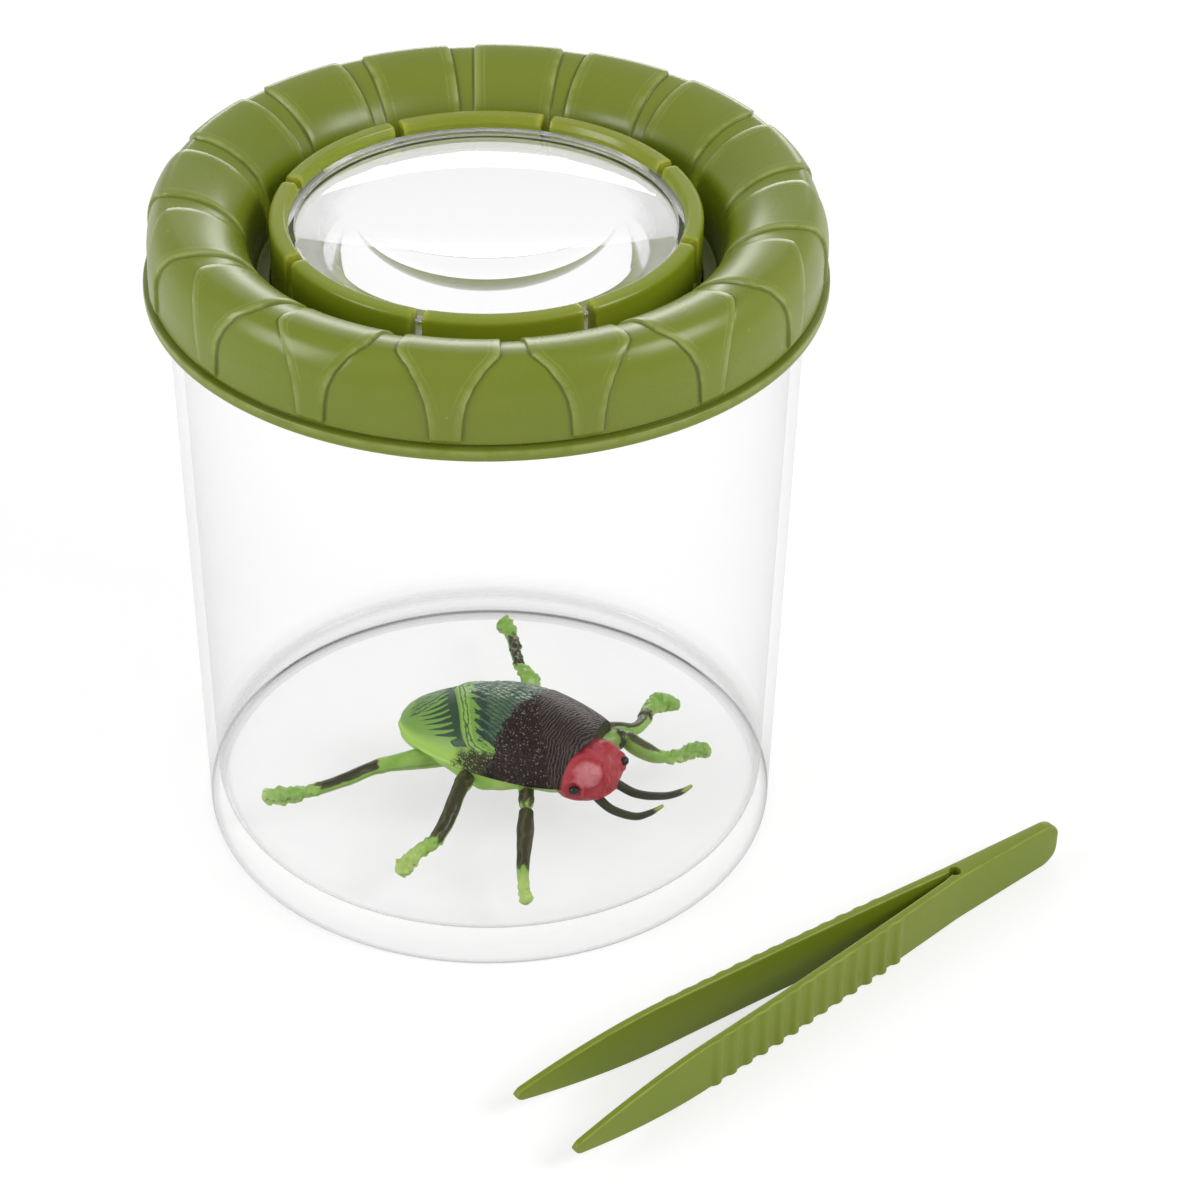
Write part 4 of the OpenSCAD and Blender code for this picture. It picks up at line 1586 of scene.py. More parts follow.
    def build(self) -> list[bpy.types.Object]:
        """Makes the tail and the two arms, which spread apart from the hole.

        Returns:
            The tail, the front arm and the back arm.
        """
        quarter = math.pi / 2
        tail_x = np.concatenate([
            -self.tail_l + self.tail_round * (1 - np.cos(np.linspace(0.0, quarter, 16))),
            np.linspace(-self.tail_l + self.tail_round, self.joint_x, 24)[1:],
        ])
        tail = piece("tweezers_tail_end", self.body(tail_x, self.tail_section, 1), TWEEZERS_GREEN)
        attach(tail, "tweezers")
        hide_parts("tweezers_tail")
        arm_x = np.concatenate([
            [self.joint_x, -self.hole_r - 0.02], self.hole_r * np.sin(np.linspace(-quarter, quarter, 15)),
            np.linspace(self.hole_r + 0.15, self.rib_start - 0.4, 34),
            np.arange(self.rib_start, self.ribs_end + 0.01, self.rib_pitch / 12),
            np.linspace(self.ribs_end + 0.5, self.arm_l - self.tip_round, 40),
            self.arm_l - self.tip_round * (1 - np.sin(np.linspace(0.0, quarter, 8)[1:])),
        ])
        arms = []
        for side, name in ((Side.LEFT, "front"), (Side.RIGHT, "back")):
            skin = self.body(arm_x, self.arm_section, side.value)
            arm = piece(f"tweezers_{name}_arm", skin, TWEEZERS_GREEN)
            self.at(-self.bend_x)
            self.at(self.bend_x)
            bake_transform(arm)
            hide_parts(f"tweezers_arm_{name}")
            arms.append(arm)
        return [tail, *arms]


# The toy beetle

LimbRow = tuple[float, float, float, float]


@dataclass(frozen=True)
class LimbLook:
    """How a limb is dressed, with places as shares of its length.

    Attributes:
        dark: Stretches painted dark: where each starts and ends, and how far round it reaches, 1 all round.
        knobs: Thicker places: where, how much thicker, and how far each reaches.
        rough_from: Where the knobbly foot starts.
        rough: How knobbly the foot is.
        pale_from: Where the limb starts to turn pale.
    """

    dark: tuple[Place, ...] = ()
    knobs: tuple[Place, ...] = ()
    rough_from: float = 0.75
    rough: float = 0.25
    pale_from: float = 0.8

    def swelling(self, share: np.ndarray) -> np.ndarray:
        """How much thicker or thinner the knobs make the limb at each share of its length.

        Args:
            share: The shares.

        Returns:
            What the thickness is multiplied by.
        """
        more = np.ones_like(share)
        for where, height, reach in self.knobs:
            more = more * (1 + height * hump(where, reach, share))
        return more

    def masks(self, share: np.ndarray, turns: np.ndarray) -> dict[str, np.ndarray]:
        """The limb's masks.

        Args:
            share: Share of the length of each ring.
            turns: Angle of each point of a ring.

        Returns:
            Where it is painted dark, where each point is round it and how high, and where it is pale.
        """
        height = np.sin(turns)
        dark = np.zeros((len(share), len(turns)))
        for start, end, wrap in self.dark:
            begun = smooth_rise(start - 0.02, start + 0.025, share)
            stretch = begun * smooth_rise(end + 0.08, end - 0.06, share)
            around = smooth_rise(0.7 - 2 * wrap, 1.3 - 2 * wrap, height)
            dark = np.maximum(dark, stretch[:, None] * around)
        pale = smooth_rise(self.pale_from - 0.06, self.pale_from + 0.1, share)
        return {
            "paint": dark,
            "around": np.broadcast_to(turns / (2 * math.pi), dark.shape),
            "up": np.broadcast_to(0.5 + 0.5 * height, dark.shape),
            "tip": np.broadcast_to(pale[:, None], dark.shape),
        }


@dataclass
class BackPlaces:
    """Where each point of the wing cases lies.

    Attributes:
        x: Its X.
        t: Its angle round the body.
        folded: Its angle, where the left side is mirrored onto the right about the ridge's hindmost place.
        off: Its distance to the ridge.
        ahead: Whether it lies in front of the ridge.
        behind: How far it lies behind the ridge along X, less the ridge's own width.
        fringe: A little noise along X, for ragged edges.
    """

    x: np.ndarray
    t: np.ndarray
    folded: np.ndarray
    off: np.ndarray
    ahead: np.ndarray
    behind: np.ndarray
    fringe: np.ndarray

    @property
    def front_off(self) -> np.ndarray:
        """The distance to the ridge in front of it, and 0 behind it."""
        return np.where(self.ahead & (self.folded < 150), self.off, 0.0)

    @property
    def ridge(self) -> np.ndarray:
        """1 on the ridge."""
        return smooth_rise(1.15, 0.75, self.off)


@dataclass(frozen=True)
class Feature:
    """A raised or sunken spot, ring or line on the head, in the head's own frame.

    Attributes:
        start: Its middle, or where the line starts.
        reach: How far it reaches to each side.
        height: How high it is, negative where it is sunken.
        radius: Radius of a ring.
        end: Where the line ends.
    """

    start: Place
    reach: float
    height: float
    radius: float = 0.0
    end: Place | None = None

    def off(self, points: np.ndarray) -> np.ndarray:
        """Distance of each point to its middle or its line."""
        return off_line(points, np.array(self.start), np.array(self.end or self.start))

    def share(self, points: np.ndarray) -> np.ndarray:
        """How much of it there is at each point, from 0 to 1."""
        return hump(self.radius, self.reach, self.off(points))


@dataclass
class Beetle:
    """The toy beetle, drawn with its head along +X and stood on the jar's floor.

    Places on its back are given by X and by the angle round the body in degrees, 0 at the left seam, 90
    on top and 180 at the right seam. Tables of the back give a value for each angle.
    """

    length: float = 37.0
    width: float = 23.0
    back_h: float = 17.0
    belly_z: float = 3.0
    seam_z: float = 8.04
    leg_t: float = 2.6
    horn_t: float = 1.42
    eye_r: float = 0.88
    neck_x: float = 17.39
    tail_x: float = -19.61
    degree_l: float = 0.18
    place: Place = (2.6, -6.4, 5.95)
    turn: float = -20.0
    head_turn: float = -26.0
    back_columns: int = 250
    wing_rows: int = 240
    thorax_rows: int = 180
    belly_rows: int = 90
    limb_steps: int = 22
    limb_columns: int = 28
    head_grid: tuple[int, int] = (110, 190)
    eye_grid: tuple[int, int] = (30, 40)
    horns: dict[Side, Sequence[LimbRow]] = field(default_factory=lambda: {
        Side.LEFT: (
            (0.51, -0.04, 0.15, 0.90), (0.59, -0.02, 0.114, 1.20), (0.69, -0.02, 0.08, 1.10),
            (0.82, -0.01, 0.095, 1.00), (0.90, 0.02, 0.12, 0.80), (0.95, 0.04, 0.16, 0.40),
        ),
        Side.RIGHT: (
            (0.47, -0.13, 0.15, 0.90), (0.54, -0.15, 0.108, 1.20), (0.62, -0.174, 0.08, 1.10),
            (0.73, -0.18, 0.076, 1.00), (0.80, -0.16, 0.10, 0.80), (0.86, -0.126, 0.14, 0.40),
        ),
    })
    horn_look: LimbLook = LimbLook(dark=((-0.1, 0.88, 1.0),), rough_from=0.95, rough=0.0, pale_from=0.9)
    legs: dict[str, tuple[Sequence[LimbRow], LimbLook]] = field(default_factory=lambda: {
        "fore_left": ((
            (0.42, 0.14, 0.19, 1.40), (0.53, 0.25, 0.176, 1.30), (0.60, 0.245, 0.15, 1.30),
            (0.70, 0.255, 0.108, 1.00), (0.776, 0.335, 0.068, 0.85), (0.846, 0.430, 0.05, 1.05),
            (0.92, 0.460, 0.035, 0.80),
        ), LimbLook(
            dark=((0.17, 0.235, 0.8), (0.25, 0.5, 0.07)),
            knobs=((0.2, 0.16, 0.05), (0.25, -0.14, 0.03), (0.45, 0.1, 0.12)),
            rough_from=0.6, rough=0.62, pale_from=1.2,
        )),
        "fore_right": ((
            (0.17, -0.16, 0.155, 1.30), (0.247, -0.36, 0.176, 1.00), (0.31, -0.55, 0.135, 1.05),
            (0.364, -0.73, 0.081, 0.85), (0.406, -0.83, 0.05, 0.75), (0.445, -0.90, 0.036, 1.00),
        ), LimbLook(
            dark=((0.2, 0.31, 1.0), (0.35, 0.76, 0.62)),
            knobs=((0.26, 0.1, 0.04), (0.33, -0.34, 0.03), (0.5, 0.12, 0.14)),
            rough_from=0.84, rough=0.4, pale_from=0.8,
        )),
        "mid_left": ((
            (0.33, 0.22, 0.17, 1.20), (0.45, 0.32, 0.162, 1.00), (0.53, 0.40, 0.122, 0.90),
            (0.55, 0.50, 0.095, 0.90), (0.537, 0.66, 0.068, 1.00), (0.579, 0.746, 0.054, 1.20),
            (0.665, 0.754, 0.035, 0.90),
        ), LimbLook(
            dark=((0.1, 0.56, 0.12), (0.55, 0.62, 0.42)), knobs=((0.59, 0.2, 0.04), (0.82, 0.12, 0.1)),
            rough_from=0.62, rough=0.3, pale_from=1.2,
        )),
        "mid_right": ((
            (-0.09, -0.16, 0.155, 1.40), (-0.08, -0.40, 0.176, 1.10), (-0.075, -0.56, 0.135, 1.10),
            (-0.10, -0.69, 0.081, 0.95), (-0.16, -0.76, 0.05, 0.90), (-0.18, -0.857, 0.04, 1.00),
            (-0.21, -0.90, 0.034, 0.85),
        ), LimbLook(
            dark=((0.16, 0.66, 0.5),), knobs=((0.22, 0.12, 0.05), (0.95, 0.2, 0.05)),
            rough_from=0.66, rough=0.5, pale_from=0.74,
        )),
        "hind_left": ((
            (0.07, 0.24, 0.18, 1.30), (0.00, 0.40, 0.189, 1.30), (-0.06, 0.54, 0.176, 0.90),
            (-0.17, 0.69, 0.135, 0.75), (-0.266, 0.89, 0.081, 0.75), (-0.357, 1.056, 0.05, 0.90),
            (-0.43, 1.12, 0.035, 0.90),
        ), LimbLook(
            dark=((0.46, 0.8, 0.4),), knobs=((0.3, 0.42, 0.06), (0.97, 0.3, 0.05)),
            rough_from=0.27, rough=0.6, pale_from=1.2,
        )),
        "hind_right": ((
            (-0.22, -0.12, 0.155, 1.60), (-0.32, -0.18, 0.15, 1.60), (-0.426, -0.254, 0.15, 1.25),
            (-0.539, -0.32, 0.135, 1.00), (-0.646, -0.442, 0.122, 0.95), (-0.77, -0.523, 0.086, 0.85),
            (-0.892, -0.57, 0.05, 1.10), (-0.977, -0.596, 0.043, 1.10), (-1.02, -0.617, 0.034, 0.80),
        ), LimbLook(
            dark=((0.38, 0.7, 0.3),), knobs=((0.37, 0.1, 0.05),), rough_from=0.7, rough=0.5, pale_from=0.94,
        )),
    })
    thorax_edge: Table = (
        (0, 2.0), (20, 3.4), (40, 5.2), (57, 5.6), (80, 4.3), (90, 3.1), (103, 2.2), (114, 1.5), (130, 1.3),
        (149, 1.2), (165, 0.4), (180, -0.6),
    )
    neck_cut: Table = ((105, 0.0), (122, 1.1), (137, 2.4), (148, 2.6), (180, 3.1))
    wrinkled_l: Table = ((30, 12.5), (90, 7.6), (130, 3.8), (160, 3.0), (180, 2.6))
    wrinkle_pitch: float = 0.4
    pebble_pitch: float = 0.62
    pebble_h: float = 0.14
    ridge: Table = (
        (0, -4.6), (25, -6.2), (50, -8.4), (70, -9.4), (95, -7.2), (114, -5.5), (131, -4.3), (144, -3.1),
        (148, -2.0), (153, 1.2), (154, 3.4),
    )
    hindmost: int = 3
    ridge_h: float = 0.34
    ridge_w: float = 1.7
    tooth_pitch: float = 9.3
    tooth_slant: float = 4.5
    tooth_l: Table = ((78, 2.6), (90, 8.8), (100, 9.4), (130, 7.0), (152, 4.8), (163, 3.4), (170, 0.3))
    comb_w: Table = ((70, 0.6), (95, 1.9), (120, 1.7), (150, 0.9))
    stroke_pitch: float = 9.5
    stroke_slant: float = 2.4
    stroke_deep: float = 0.1
    rear_line: tuple[float, float, float, float] = (1.386, -18.2, 25.9, 1.71)
    features: dict[str, Feature] = field(default_factory=lambda: {
        "oval": Feature((3.6, -3.6, 2.9), 4.4, 0.5),
        "oval_groove": Feature((3.6, -3.6, 2.9), 0.8, -0.35, radius=3.0),
        "brow": Feature((0.2, -1.1, 5.0), 0.9, 0.6, end=(3.6, -0.6, 3.6)),
        "nose": Feature((3.6, -0.6, 3.6), 0.9, 0.7, end=(5.3, -0.9, 0.8)),
        "left_dent": Feature((2.5, 1.2, 4.4), 1.1, -0.45, end=(4.9, 1.4, 1.8)),
        "left_brow": Feature((1.0, 3.4, 4.2), 0.9, 0.5, end=(3.6, 4.6, 2.3)),
        "right_socket": Feature((2.5, -6.2, 0.4), 0.6, 0.4, radius=1.5),
        "left_socket": Feature((3.8, 4.8, 1.5), 0.6, 0.4, radius=1.5),
        "lip": Feature((4.6, -2.6, -2.3), 1.4, 0.45, end=(4.9, 1.6, -2.2)),
        "mouth": Feature((5.4, -0.4, -1.4), 1.1, -0.5),
        "right_rear": Feature((-0.8, -5.0, 3.3), 5.0, 1.2),
        "right_cheek": Feature((-0.4, -7.0, 0.6), 4.2, 0.7),
    })
    eyes: dict[Side, Place] = field(default_factory=lambda: {
        Side.LEFT: (4.0, 4.9, 1.5), Side.RIGHT: (2.75, -6.45, 0.4),
    })

    @property
    def head_at(self) -> np.ndarray:
        """The middle of the head, in the beetle's own frame."""
        return np.array([self.length * 0.46, self.length * -0.07, self.back_h * 0.45])

    @property
    def head_radii(self) -> np.ndarray:
        """Half length, half width and half height of the head."""
        return np.array([self.length * 0.15, self.width * 0.31, self.back_h * 0.30])

    @staticmethod
    def fullness(x: np.ndarray, middle: float, reach: np.ndarray | float, power: float) -> np.ndarray:
        """How full an egg-shaped outline is at x, between 0 at its ends and 1 in its middle."""
        return np.sqrt(np.clip(1 - (np.abs(x - middle) / reach) ** power, 0.0, 1.0))

    def back_fullness(self, x: np.ndarray, front: float, power: float) -> np.ndarray:
        """How full the back is at x.

        Args:
            x: Place along the body.
            front: How far the back reaches forward, as a share of the length.
            power: How boxy its outline is.

        Returns:
            A share from 0 to 1.
        """
        middle = self.length * 0.14
        reach = np.where(x < middle, self.length * 0.68, self.length * front)
        return self.fullness(x, middle, reach, power)

    def half_width(self, x: np.ndarray) -> np.ndarray:
        """Half width of the back at x."""
        return self.width / 2 * self.back_fullness(x, 0.50, 2.2)

    def rise(self, x: np.ndarray) -> np.ndarray:
        """Height of the back above the seam at x."""
        return (self.back_h - self.seam_z) * self.back_fullness(x, 0.47, 1.7)

    def back(
        self, start: np.ndarray, end: np.ndarray, rows: int, angles: np.ndarray
    ) -> tuple[Grid, np.ndarray]:
        """The upper half of the body between two edges.

        Args:
            start: Where it starts along X, for each angle.
            end: Where it ends, for each angle.
            rows: Number of rows along X.
            angles: Angles round the body, in degrees.

        Returns:
            The grid, in the beetle's own frame, and X at each of its points.
        """
        share = (1 - np.cos(np.linspace(0.0, math.pi, rows)))[:, None] / 2
        x = start + (end - start) * share
        t = np.radians(angles)
        y, z = self.half_width(x) * np.cos(t), self.seam_z + self.rise(x) * np.sin(t)
        return Grid(np.stack([x, y, z], axis=-1)), x

    @staticmethod
    def swell(x: np.ndarray, t: np.ndarray) -> np.ndarray:
        """How much fuller the middle of the back is than its egg shape."""
        return hump(0.0, 15.0, x) * hump(62.0, 62.0, t) * 1.2

    @staticmethod
    def lift(upper: Grid, height: np.ndarray, t: np.ndarray) -> None:
        """Moves a part of the back out of the body by a height that fades towards both seams.

        Args:
            upper: The part, which is changed.
            height: The height at each point.
            t: The angle round the body at each point.
        """
        height = height * (smooth_rise(0.0, 6.0, t) * smooth_rise(180.0, 174.0, t))
        out = upper.normals()
        out = out * np.where(out[out.shape[0] // 2, out.shape[1] // 2, 2] < 0, -1.0, 1.0)
        upper.points = upper.points + out * height[..., None]

    def shell(self, name: str, upper: Grid, finish: Finish) -> bpy.types.Object:
        """Closes a part of the body across its open side and puts it in its place.

        Args:
            name: The piece's name.
            upper: Its curved face, in the beetle's own frame.
            finish: Its finish.

        Returns:
            The piece.
        """
        upper.points = placed(upper.points, self.turn, self.place)
        sides = [0, -1]
        lower = Grid(upper.points[:, sides], masks={k: v[:, sides] for k, v in upper.masks.items()})
        ends = [cap(upper.points[row], dict.fromkeys(upper.masks, 0.0)) for row in (0, -1)]
        made = piece(name, [upper, lower, *ends], finish)
        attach(made, "beetle")
        return made

    def wing_places(self, x: np.ndarray, t: np.ndarray) -> BackPlaces:
        """Where each point of the wing cases lies.

        Args:
            x: X of each point.
            t: Its angle round the body.

        Returns:
            Its places.
        """
        knots = [np.array([knot_x, angle * self.degree_l]) for angle, knot_x in self.ridge]
        spread = np.stack([x, t * self.degree_l], axis=-1)
        off = np.min([off_line(spread, a, b) for a, b in zip(knots[:-1], knots[1:])], axis=0)
        fold = self.ridge[self.hindmost][0]
        folded = np.where(t < fold, 2 * fold - t, t)
        return BackPlaces(
            x, t, folded, off,
            ahead=(x > looked_up(self.ridge, t)) & (t < 152),
            behind=looked_up(self.ridge[self.hindmost:], folded) - self.ridge_w - x,
            fringe=grain(np.stack([x * 0.35, t * self.degree_l * 2.2, 0 * x], axis=-1), 1.0, 4.0),
        )

    def comb(self, at: BackPlaces) -> np.ndarray:
        """The dark comb behind the ridge: its slanting, pointed teeth and the bar that joins them.

        Args:
            at: Where each point lies.

        Returns:
            How dark the comb is there.
        """
        slant = self.tooth_slant * looked_up(((100, 1.0), (150, 0.35)), at.folded)
        slid = at.folded - slant * np.clip(at.behind, -1.0, None)
        phase = slid / self.tooth_pitch
        length = np.maximum(looked_up(self.tooth_l, slid), 0.1)
        left = 1 - np.clip(at.behind / length, 0.0, None)
        teeth = smooth_rise(-0.06, 0.06, 0.47 * left - np.abs(phase - np.floor(phase) - 0.5))
        width = looked_up(self.comb_w, at.folded)
        bar = smooth_rise(-0.5, 0.0, at.behind) * smooth_rise(width, width - 0.5, at.behind)
        return teeth * (left > 0) * (at.behind > 0) + bar * smooth_rise(166, 158, at.folded)

    def front_strokes(self, at: BackPlaces) -> np.ndarray:
        """The dark, ragged strokes that run forward from the ridge.

        Args:
            at: Where each point lies.

        Returns:
            How dark the strokes are there.
        """
        wander = grain(np.stack([at.x, at.t * 0.2, 0 * at.x], -1), 2.5, 7.0) * 2.0
        turn = (at.t - at.x * self.stroke_slant) * 2 * math.pi / self.stroke_pitch
        lane = 0.5 + 0.5 * np.sin(turn + wander)
        off = at.front_off
        ends = smooth_rise(1.2, 1.7, off + at.fringe * 0.5) * smooth_rise(5.8, 2.2, off + at.fringe * 1.6)
        lanes = smooth_rise(66, 92, at.t) * smooth_rise(0.25, 0.6, lane + smooth_rise(1.2, 3.0, off) * 0.2)
        return ends * lanes

    def over_line(self, at: BackPlaces) -> np.ndarray:
        """Distance past the slanting line on the back at which the teal field behind the comb ends."""
        slope, start_x, offset, scale = self.rear_line
        return (at.folded * self.degree_l + slope * (at.x - start_x) - offset) / scale

    def wing_masks(self, at: BackPlaces, points: np.ndarray) -> dict[str, np.ndarray]:
        """The paint of the wing cases.

        Args:
            at: Where each point lies.
            points: The points themselves.

        Returns:
            The masks of the dark strokes, the teal fields, the veins, the pale front, the rim and the grit.
        """
        over_line = self.over_line(at)
        rear = ~at.ahead * (at.behind > 0.3) * smooth_rise(0.2, -0.3, over_line)
        rear = rear * smooth_rise(-18.8, -15.5, at.x)
        teal = smooth_rise(1.4, 3.2, at.front_off + at.fringe) * smooth_rise(25, 60, at.t)
        high = 1 - smooth_rise(148, 158, at.t)
        patch = grain(points, 1.7, 3.0)
        plain_vein = np.where(rear > 0, over_line / 1.15, (at.folded - self.stroke_slant * at.x) / 4.2)
        return {
            "stroke": np.clip(self.comb(at) + self.front_strokes(at), 0.0, 1.0) * (1 - at.ridge),
            "teal": np.clip(teal + rear * 0.42, 0.0, 1.0) * high,
            "vein": np.where(at.ridge > 0.5, at.off / 0.75, plain_vein),
            "veined": np.clip(teal * 0.66 + rear * 0.85 + at.ridge * 0.58, 0.0, 1.0) * high,
            # Where the cracked skin takes painted sheen.
            "pale": smooth_rise(102, 76, at.t) * smooth_rise(-10.5, -7.0, at.x),
            "rim": np.maximum(smooth_rise(144, 168, at.t) * smooth_rise(-1.5, -7.0, at.x), at.ridge * 0.4),
            "grit": smooth_rise(144, 161, at.t + patch * 7) * smooth_rise(-8.5, -0.5, at.x + patch * 2),
        }

    def wing_cases(self) -> bpy.types.Object:
        """The wing cases, with their ridge, comb and veins. They start a little under the thorax.

        Returns:
            The piece.
        """
        angles = np.linspace(0.0, 180.0, self.back_columns)
        edge = looked_up(self.thorax_edge, angles) + 0.8
        upper, x = self.back(np.full_like(angles, self.tail_x), edge, self.wing_rows, angles)
        at = self.wing_places(x, np.broadcast_to(angles, x.shape))
        upper.masks = self.wing_masks(at, upper.points)
        height = at.ridge * self.ridge_h - upper.masks["stroke"] * self.stroke_deep
        height += grain(upper.points, 1.4) * 0.05 - 0.3 + self.swell(x, at.t)
        height += grain(upper.points, 0.8, 9.0) * 0.16 * upper.masks["pale"]
        self.lift(upper, height, at.t)
        made = self.shell("wing_cases", upper, WING_LEAF)
        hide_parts("beetle_wing_cases")
        return made

    def thorax(self) -> bpy.types.Object:
        """The thorax, pebbled behind and wrinkled in front.

        Returns:
            The piece.
        """
        angles = np.linspace(0.0, 180.0, self.back_columns)
        wander = grain(np.stack([angles, 0 * angles, 0 * angles], -1), 5.0) * 0.7
        edge = looked_up(self.thorax_edge, angles) + wander
        neck = self.neck_x - looked_up(self.neck_cut, angles)
        upper, x = self.back(edge, neck, self.thorax_rows, angles)
        t = np.broadcast_to(angles, x.shape)
        gap = np.linalg.norm(upper.points - self.head_at, axis=-1) - self.width * 0.28
        wrinkled = smooth_rise(1.5, -1.5, gap - looked_up(self.wrinkled_l, t))
        upper.masks = {
            "ring": gap / self.wrinkle_pitch,
            "wrinkled": wrinkled,
            "grit": smooth_rise(150, 168, t) * smooth_rise(7.0, 0.0, x),
            "sheen": hump(60.0, 45.0, t) * smooth_rise(2.0, 7.0, x),
        }
        bumps = pebbles(upper.points, self.pebble_pitch) * self.pebble_h * (1 - wrinkled)
        waves = np.sin(gap / self.wrinkle_pitch * 2 * math.pi + grain(upper.points, 1.6) * 5.0)
        folds = waves * 0.025 * wrinkled
        rim = smooth_rise(0.0, 1.3, x - edge) * 0.3 - 0.3
        self.lift(upper, bumps + folds + rim - 0.1 + self.swell(x, t), t)
        made = self.shell("thorax", upper, THORAX_DARK)
        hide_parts("beetle_thorax")
        return made

    def belly(self) -> bpy.types.Object:
        """The lime belly, which shows below the back's edge. It is boxier and deeper in its middle.

        Returns:
            The piece.
        """
        start, end = self.tail_x * 0.96, self.neck_x * 0.96
        x = start + (end - start) * (1 - np.cos(np.linspace(0.0, math.pi, self.belly_rows))) / 2
        t = np.radians(np.linspace(0.0, 180.0, self.belly_rows))
        deep = self.seam_z - self.belly_z + 0.5 * hump(-1.0, 9.0, x)
        drop = deep * self.fullness(x, 0.0, self.length * 0.68, 4.0)
        wide = self.half_width(x) * (0.88 + 0.1 * hump(-1.0, 12.0, x))
        power = 0.8 - 0.56 * hump(-1.0, 11.0, x)
        y = wide[:, None] * np.sign(np.cos(t)) * np.abs(np.cos(t)) ** power[:, None]
        points = np.stack([x[:, None] + 0 * t, y, self.seam_z - drop[:, None] * np.sin(t)], axis=-1)
        points[..., 2] += np.sin(points[..., 0] * 1.5) * 0.12 * np.sin(t)
        paint = np.clip(grain(points, 3.0) + 0.4, 0, 1)
        made = self.shell("belly", Grid(points, masks={"paint": paint}), BELLY_LIME)
        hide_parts("beetle_belly")
        return made

    def limb_path(self, rows: Sequence[LimbRow], thickness: float) -> np.ndarray:
        """A smooth curve through the knots of a limb.

        Args:
            rows: Place of each knot as shares of the length, and its thickness as a share.
            thickness: The thickness that the shares multiply.

        Returns:
            Place and thickness at each of its points, one row each.
        """
        knots = np.array([(*(self.length * v for v in row[:3]), thickness * row[3]) for row in rows])
        path = []
        for i in range(len(knots) - 1):
            a, b = knots[max(i - 1, 0)], knots[i]
            c, d = knots[i + 1], knots[min(i + 2, len(knots) - 1)]
            slope, bend, twist = c - a, 2 * a - 5 * b + 4 * c - d, 3 * b - a - 3 * c + d
            for s in np.arange(self.limb_steps) / self.limb_steps:
                path.append((2 * b + slope * s + bend * s**2 + twist * s**3) / 2)
        return np.array([*path, knots[-1]])

    def limb(self, name: str, path: np.ndarray, look: LimbLook, finish: Finish) -> bpy.types.Object:
        """A leg or a horn: rounded rings along a path.

        Args:
            name: The piece's name.
            path: Place and thickness at each ring.
            look: How it is dressed.
            finish: Its finish.

        Returns:
            The piece.
        """
        run = np.concatenate([[0.0], np.cumsum(np.linalg.norm(np.diff(path[:, :3], axis=0), axis=1))])
        share = run / run[-1]
        along = unit(np.gradient(path[:, :3], axis=0))
        side = unit(np.cross([0.0, 0.0, 1.0], along))
        up = np.cross(along, side)
        turns = np.linspace(0.0, 2 * math.pi, self.limb_columns, endpoint=False)
        half = path[:, 3] / 2 * look.swelling(share)
        from_end = np.clip((run[-1] - run) / (half[-1] * 1.1), 0.0, 1.0)
        half = half * np.sqrt(np.clip(1 - (1 - from_end) ** 2, 0.03, 1.0))
        spokes = side[:, None] * np.cos(turns)[None, :, None] + up[:, None] * np.sin(turns)[None, :, None]
        points = path[:, None, :3] + half[:, None, None] * spokes
        rough = look.rough * smooth_rise(look.rough_from - 0.04, look.rough_from + 0.04, share)[:, None]
        bumps = grain(points, 0.85, 2.0) * rough + grain(points, 2.2, 5.0) * (0.06 + rough * 0.5)
        points = placed(points + spokes * (bumps * half[:, None])[..., None], self.turn, self.place)
        skin = Grid(points, wrap_columns=True, masks=look.masks(share, turns))
        plain = {"paint": 0.0, "around": 0.0, "up": 0.5}
        ends = [cap(points[row], {**plain, "tip": float(row < 0)}) for row in (0, -1)]
        made = piece(name, [skin, *ends], finish)
        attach(made, "beetle")
        return made

    @staticmethod
    def egg(radii: np.ndarray, rows: int, columns: int) -> np.ndarray:
        """Points of an egg around the origin, pole to pole along X.

        Args:
            radii: Half its size along X, Y and Z.
            rows: Rings from pole to pole.
            columns: Points of a ring.

        Returns:
            The points.
        """
        s = -np.cos(np.linspace(0.0, math.pi, rows))[:, None]
        t = np.linspace(0.0, 2 * math.pi, columns, endpoint=False)
        full = np.sqrt(np.clip(1 - s * s, 0.0, 1.0))
        y, z = radii[1] * full * np.cos(t), radii[2] * full * np.sin(t)
        return np.stack([radii[0] * s + 0 * t, y, z], axis=-1)

    def head_placed(self, points: np.ndarray) -> np.ndarray:
        """Points of the head's own frame as points of the scene's frame."""
        return placed(placed(points, self.head_turn, tuple(self.head_at)), self.turn, self.place)

    def head(self) -> bpy.types.Object:
        """The head: a red mask with a raised oval, a brow ridge and sockets for the eyes.

        Returns:
            The piece.
        """
        points = self.egg(self.head_radii, *self.head_grid)
        out = unit(points / self.head_radii**2)
        height = sum(feature.share(points) * feature.height for feature in self.features.values())
        height += grain(points, 1.7) * 0.14 + grain(points, 0.7, 3.0) * 0.05
        paint = smooth_rise(3.2, 1.5, self.features["oval"].off(points))
        paint = np.clip(paint + self.features["right_socket"].share(points) * 0.35, 0.0, 1.0)
        points = self.head_placed(points + out * height[..., None])
        made = piece("head", [Grid(points, wrap_columns=True, masks={"paint": paint * 0.66})], HEAD_RED)
        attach(made, "beetle")
        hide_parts("beetle_head")
        return made

    def eye(self, side: Side) -> bpy.types.Object:
        """An eye: a glossy bead in its socket.

        Args:
            side: Which eye.

        Returns:
            The piece.
        """
        points = self.egg(np.full(3, self.eye_r), *self.eye_grid) + np.array(self.eyes[side])
        bead = Grid(self.head_placed(points), wrap_columns=True, masks={"paint": np.zeros(self.eye_grid)})
        word = side.name.lower()
        made = piece(f"eye_{word}", [bead], EYE_BLACK)
        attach(made, "beetle")
        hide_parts(f"beetle_eye_{word}")
        return made

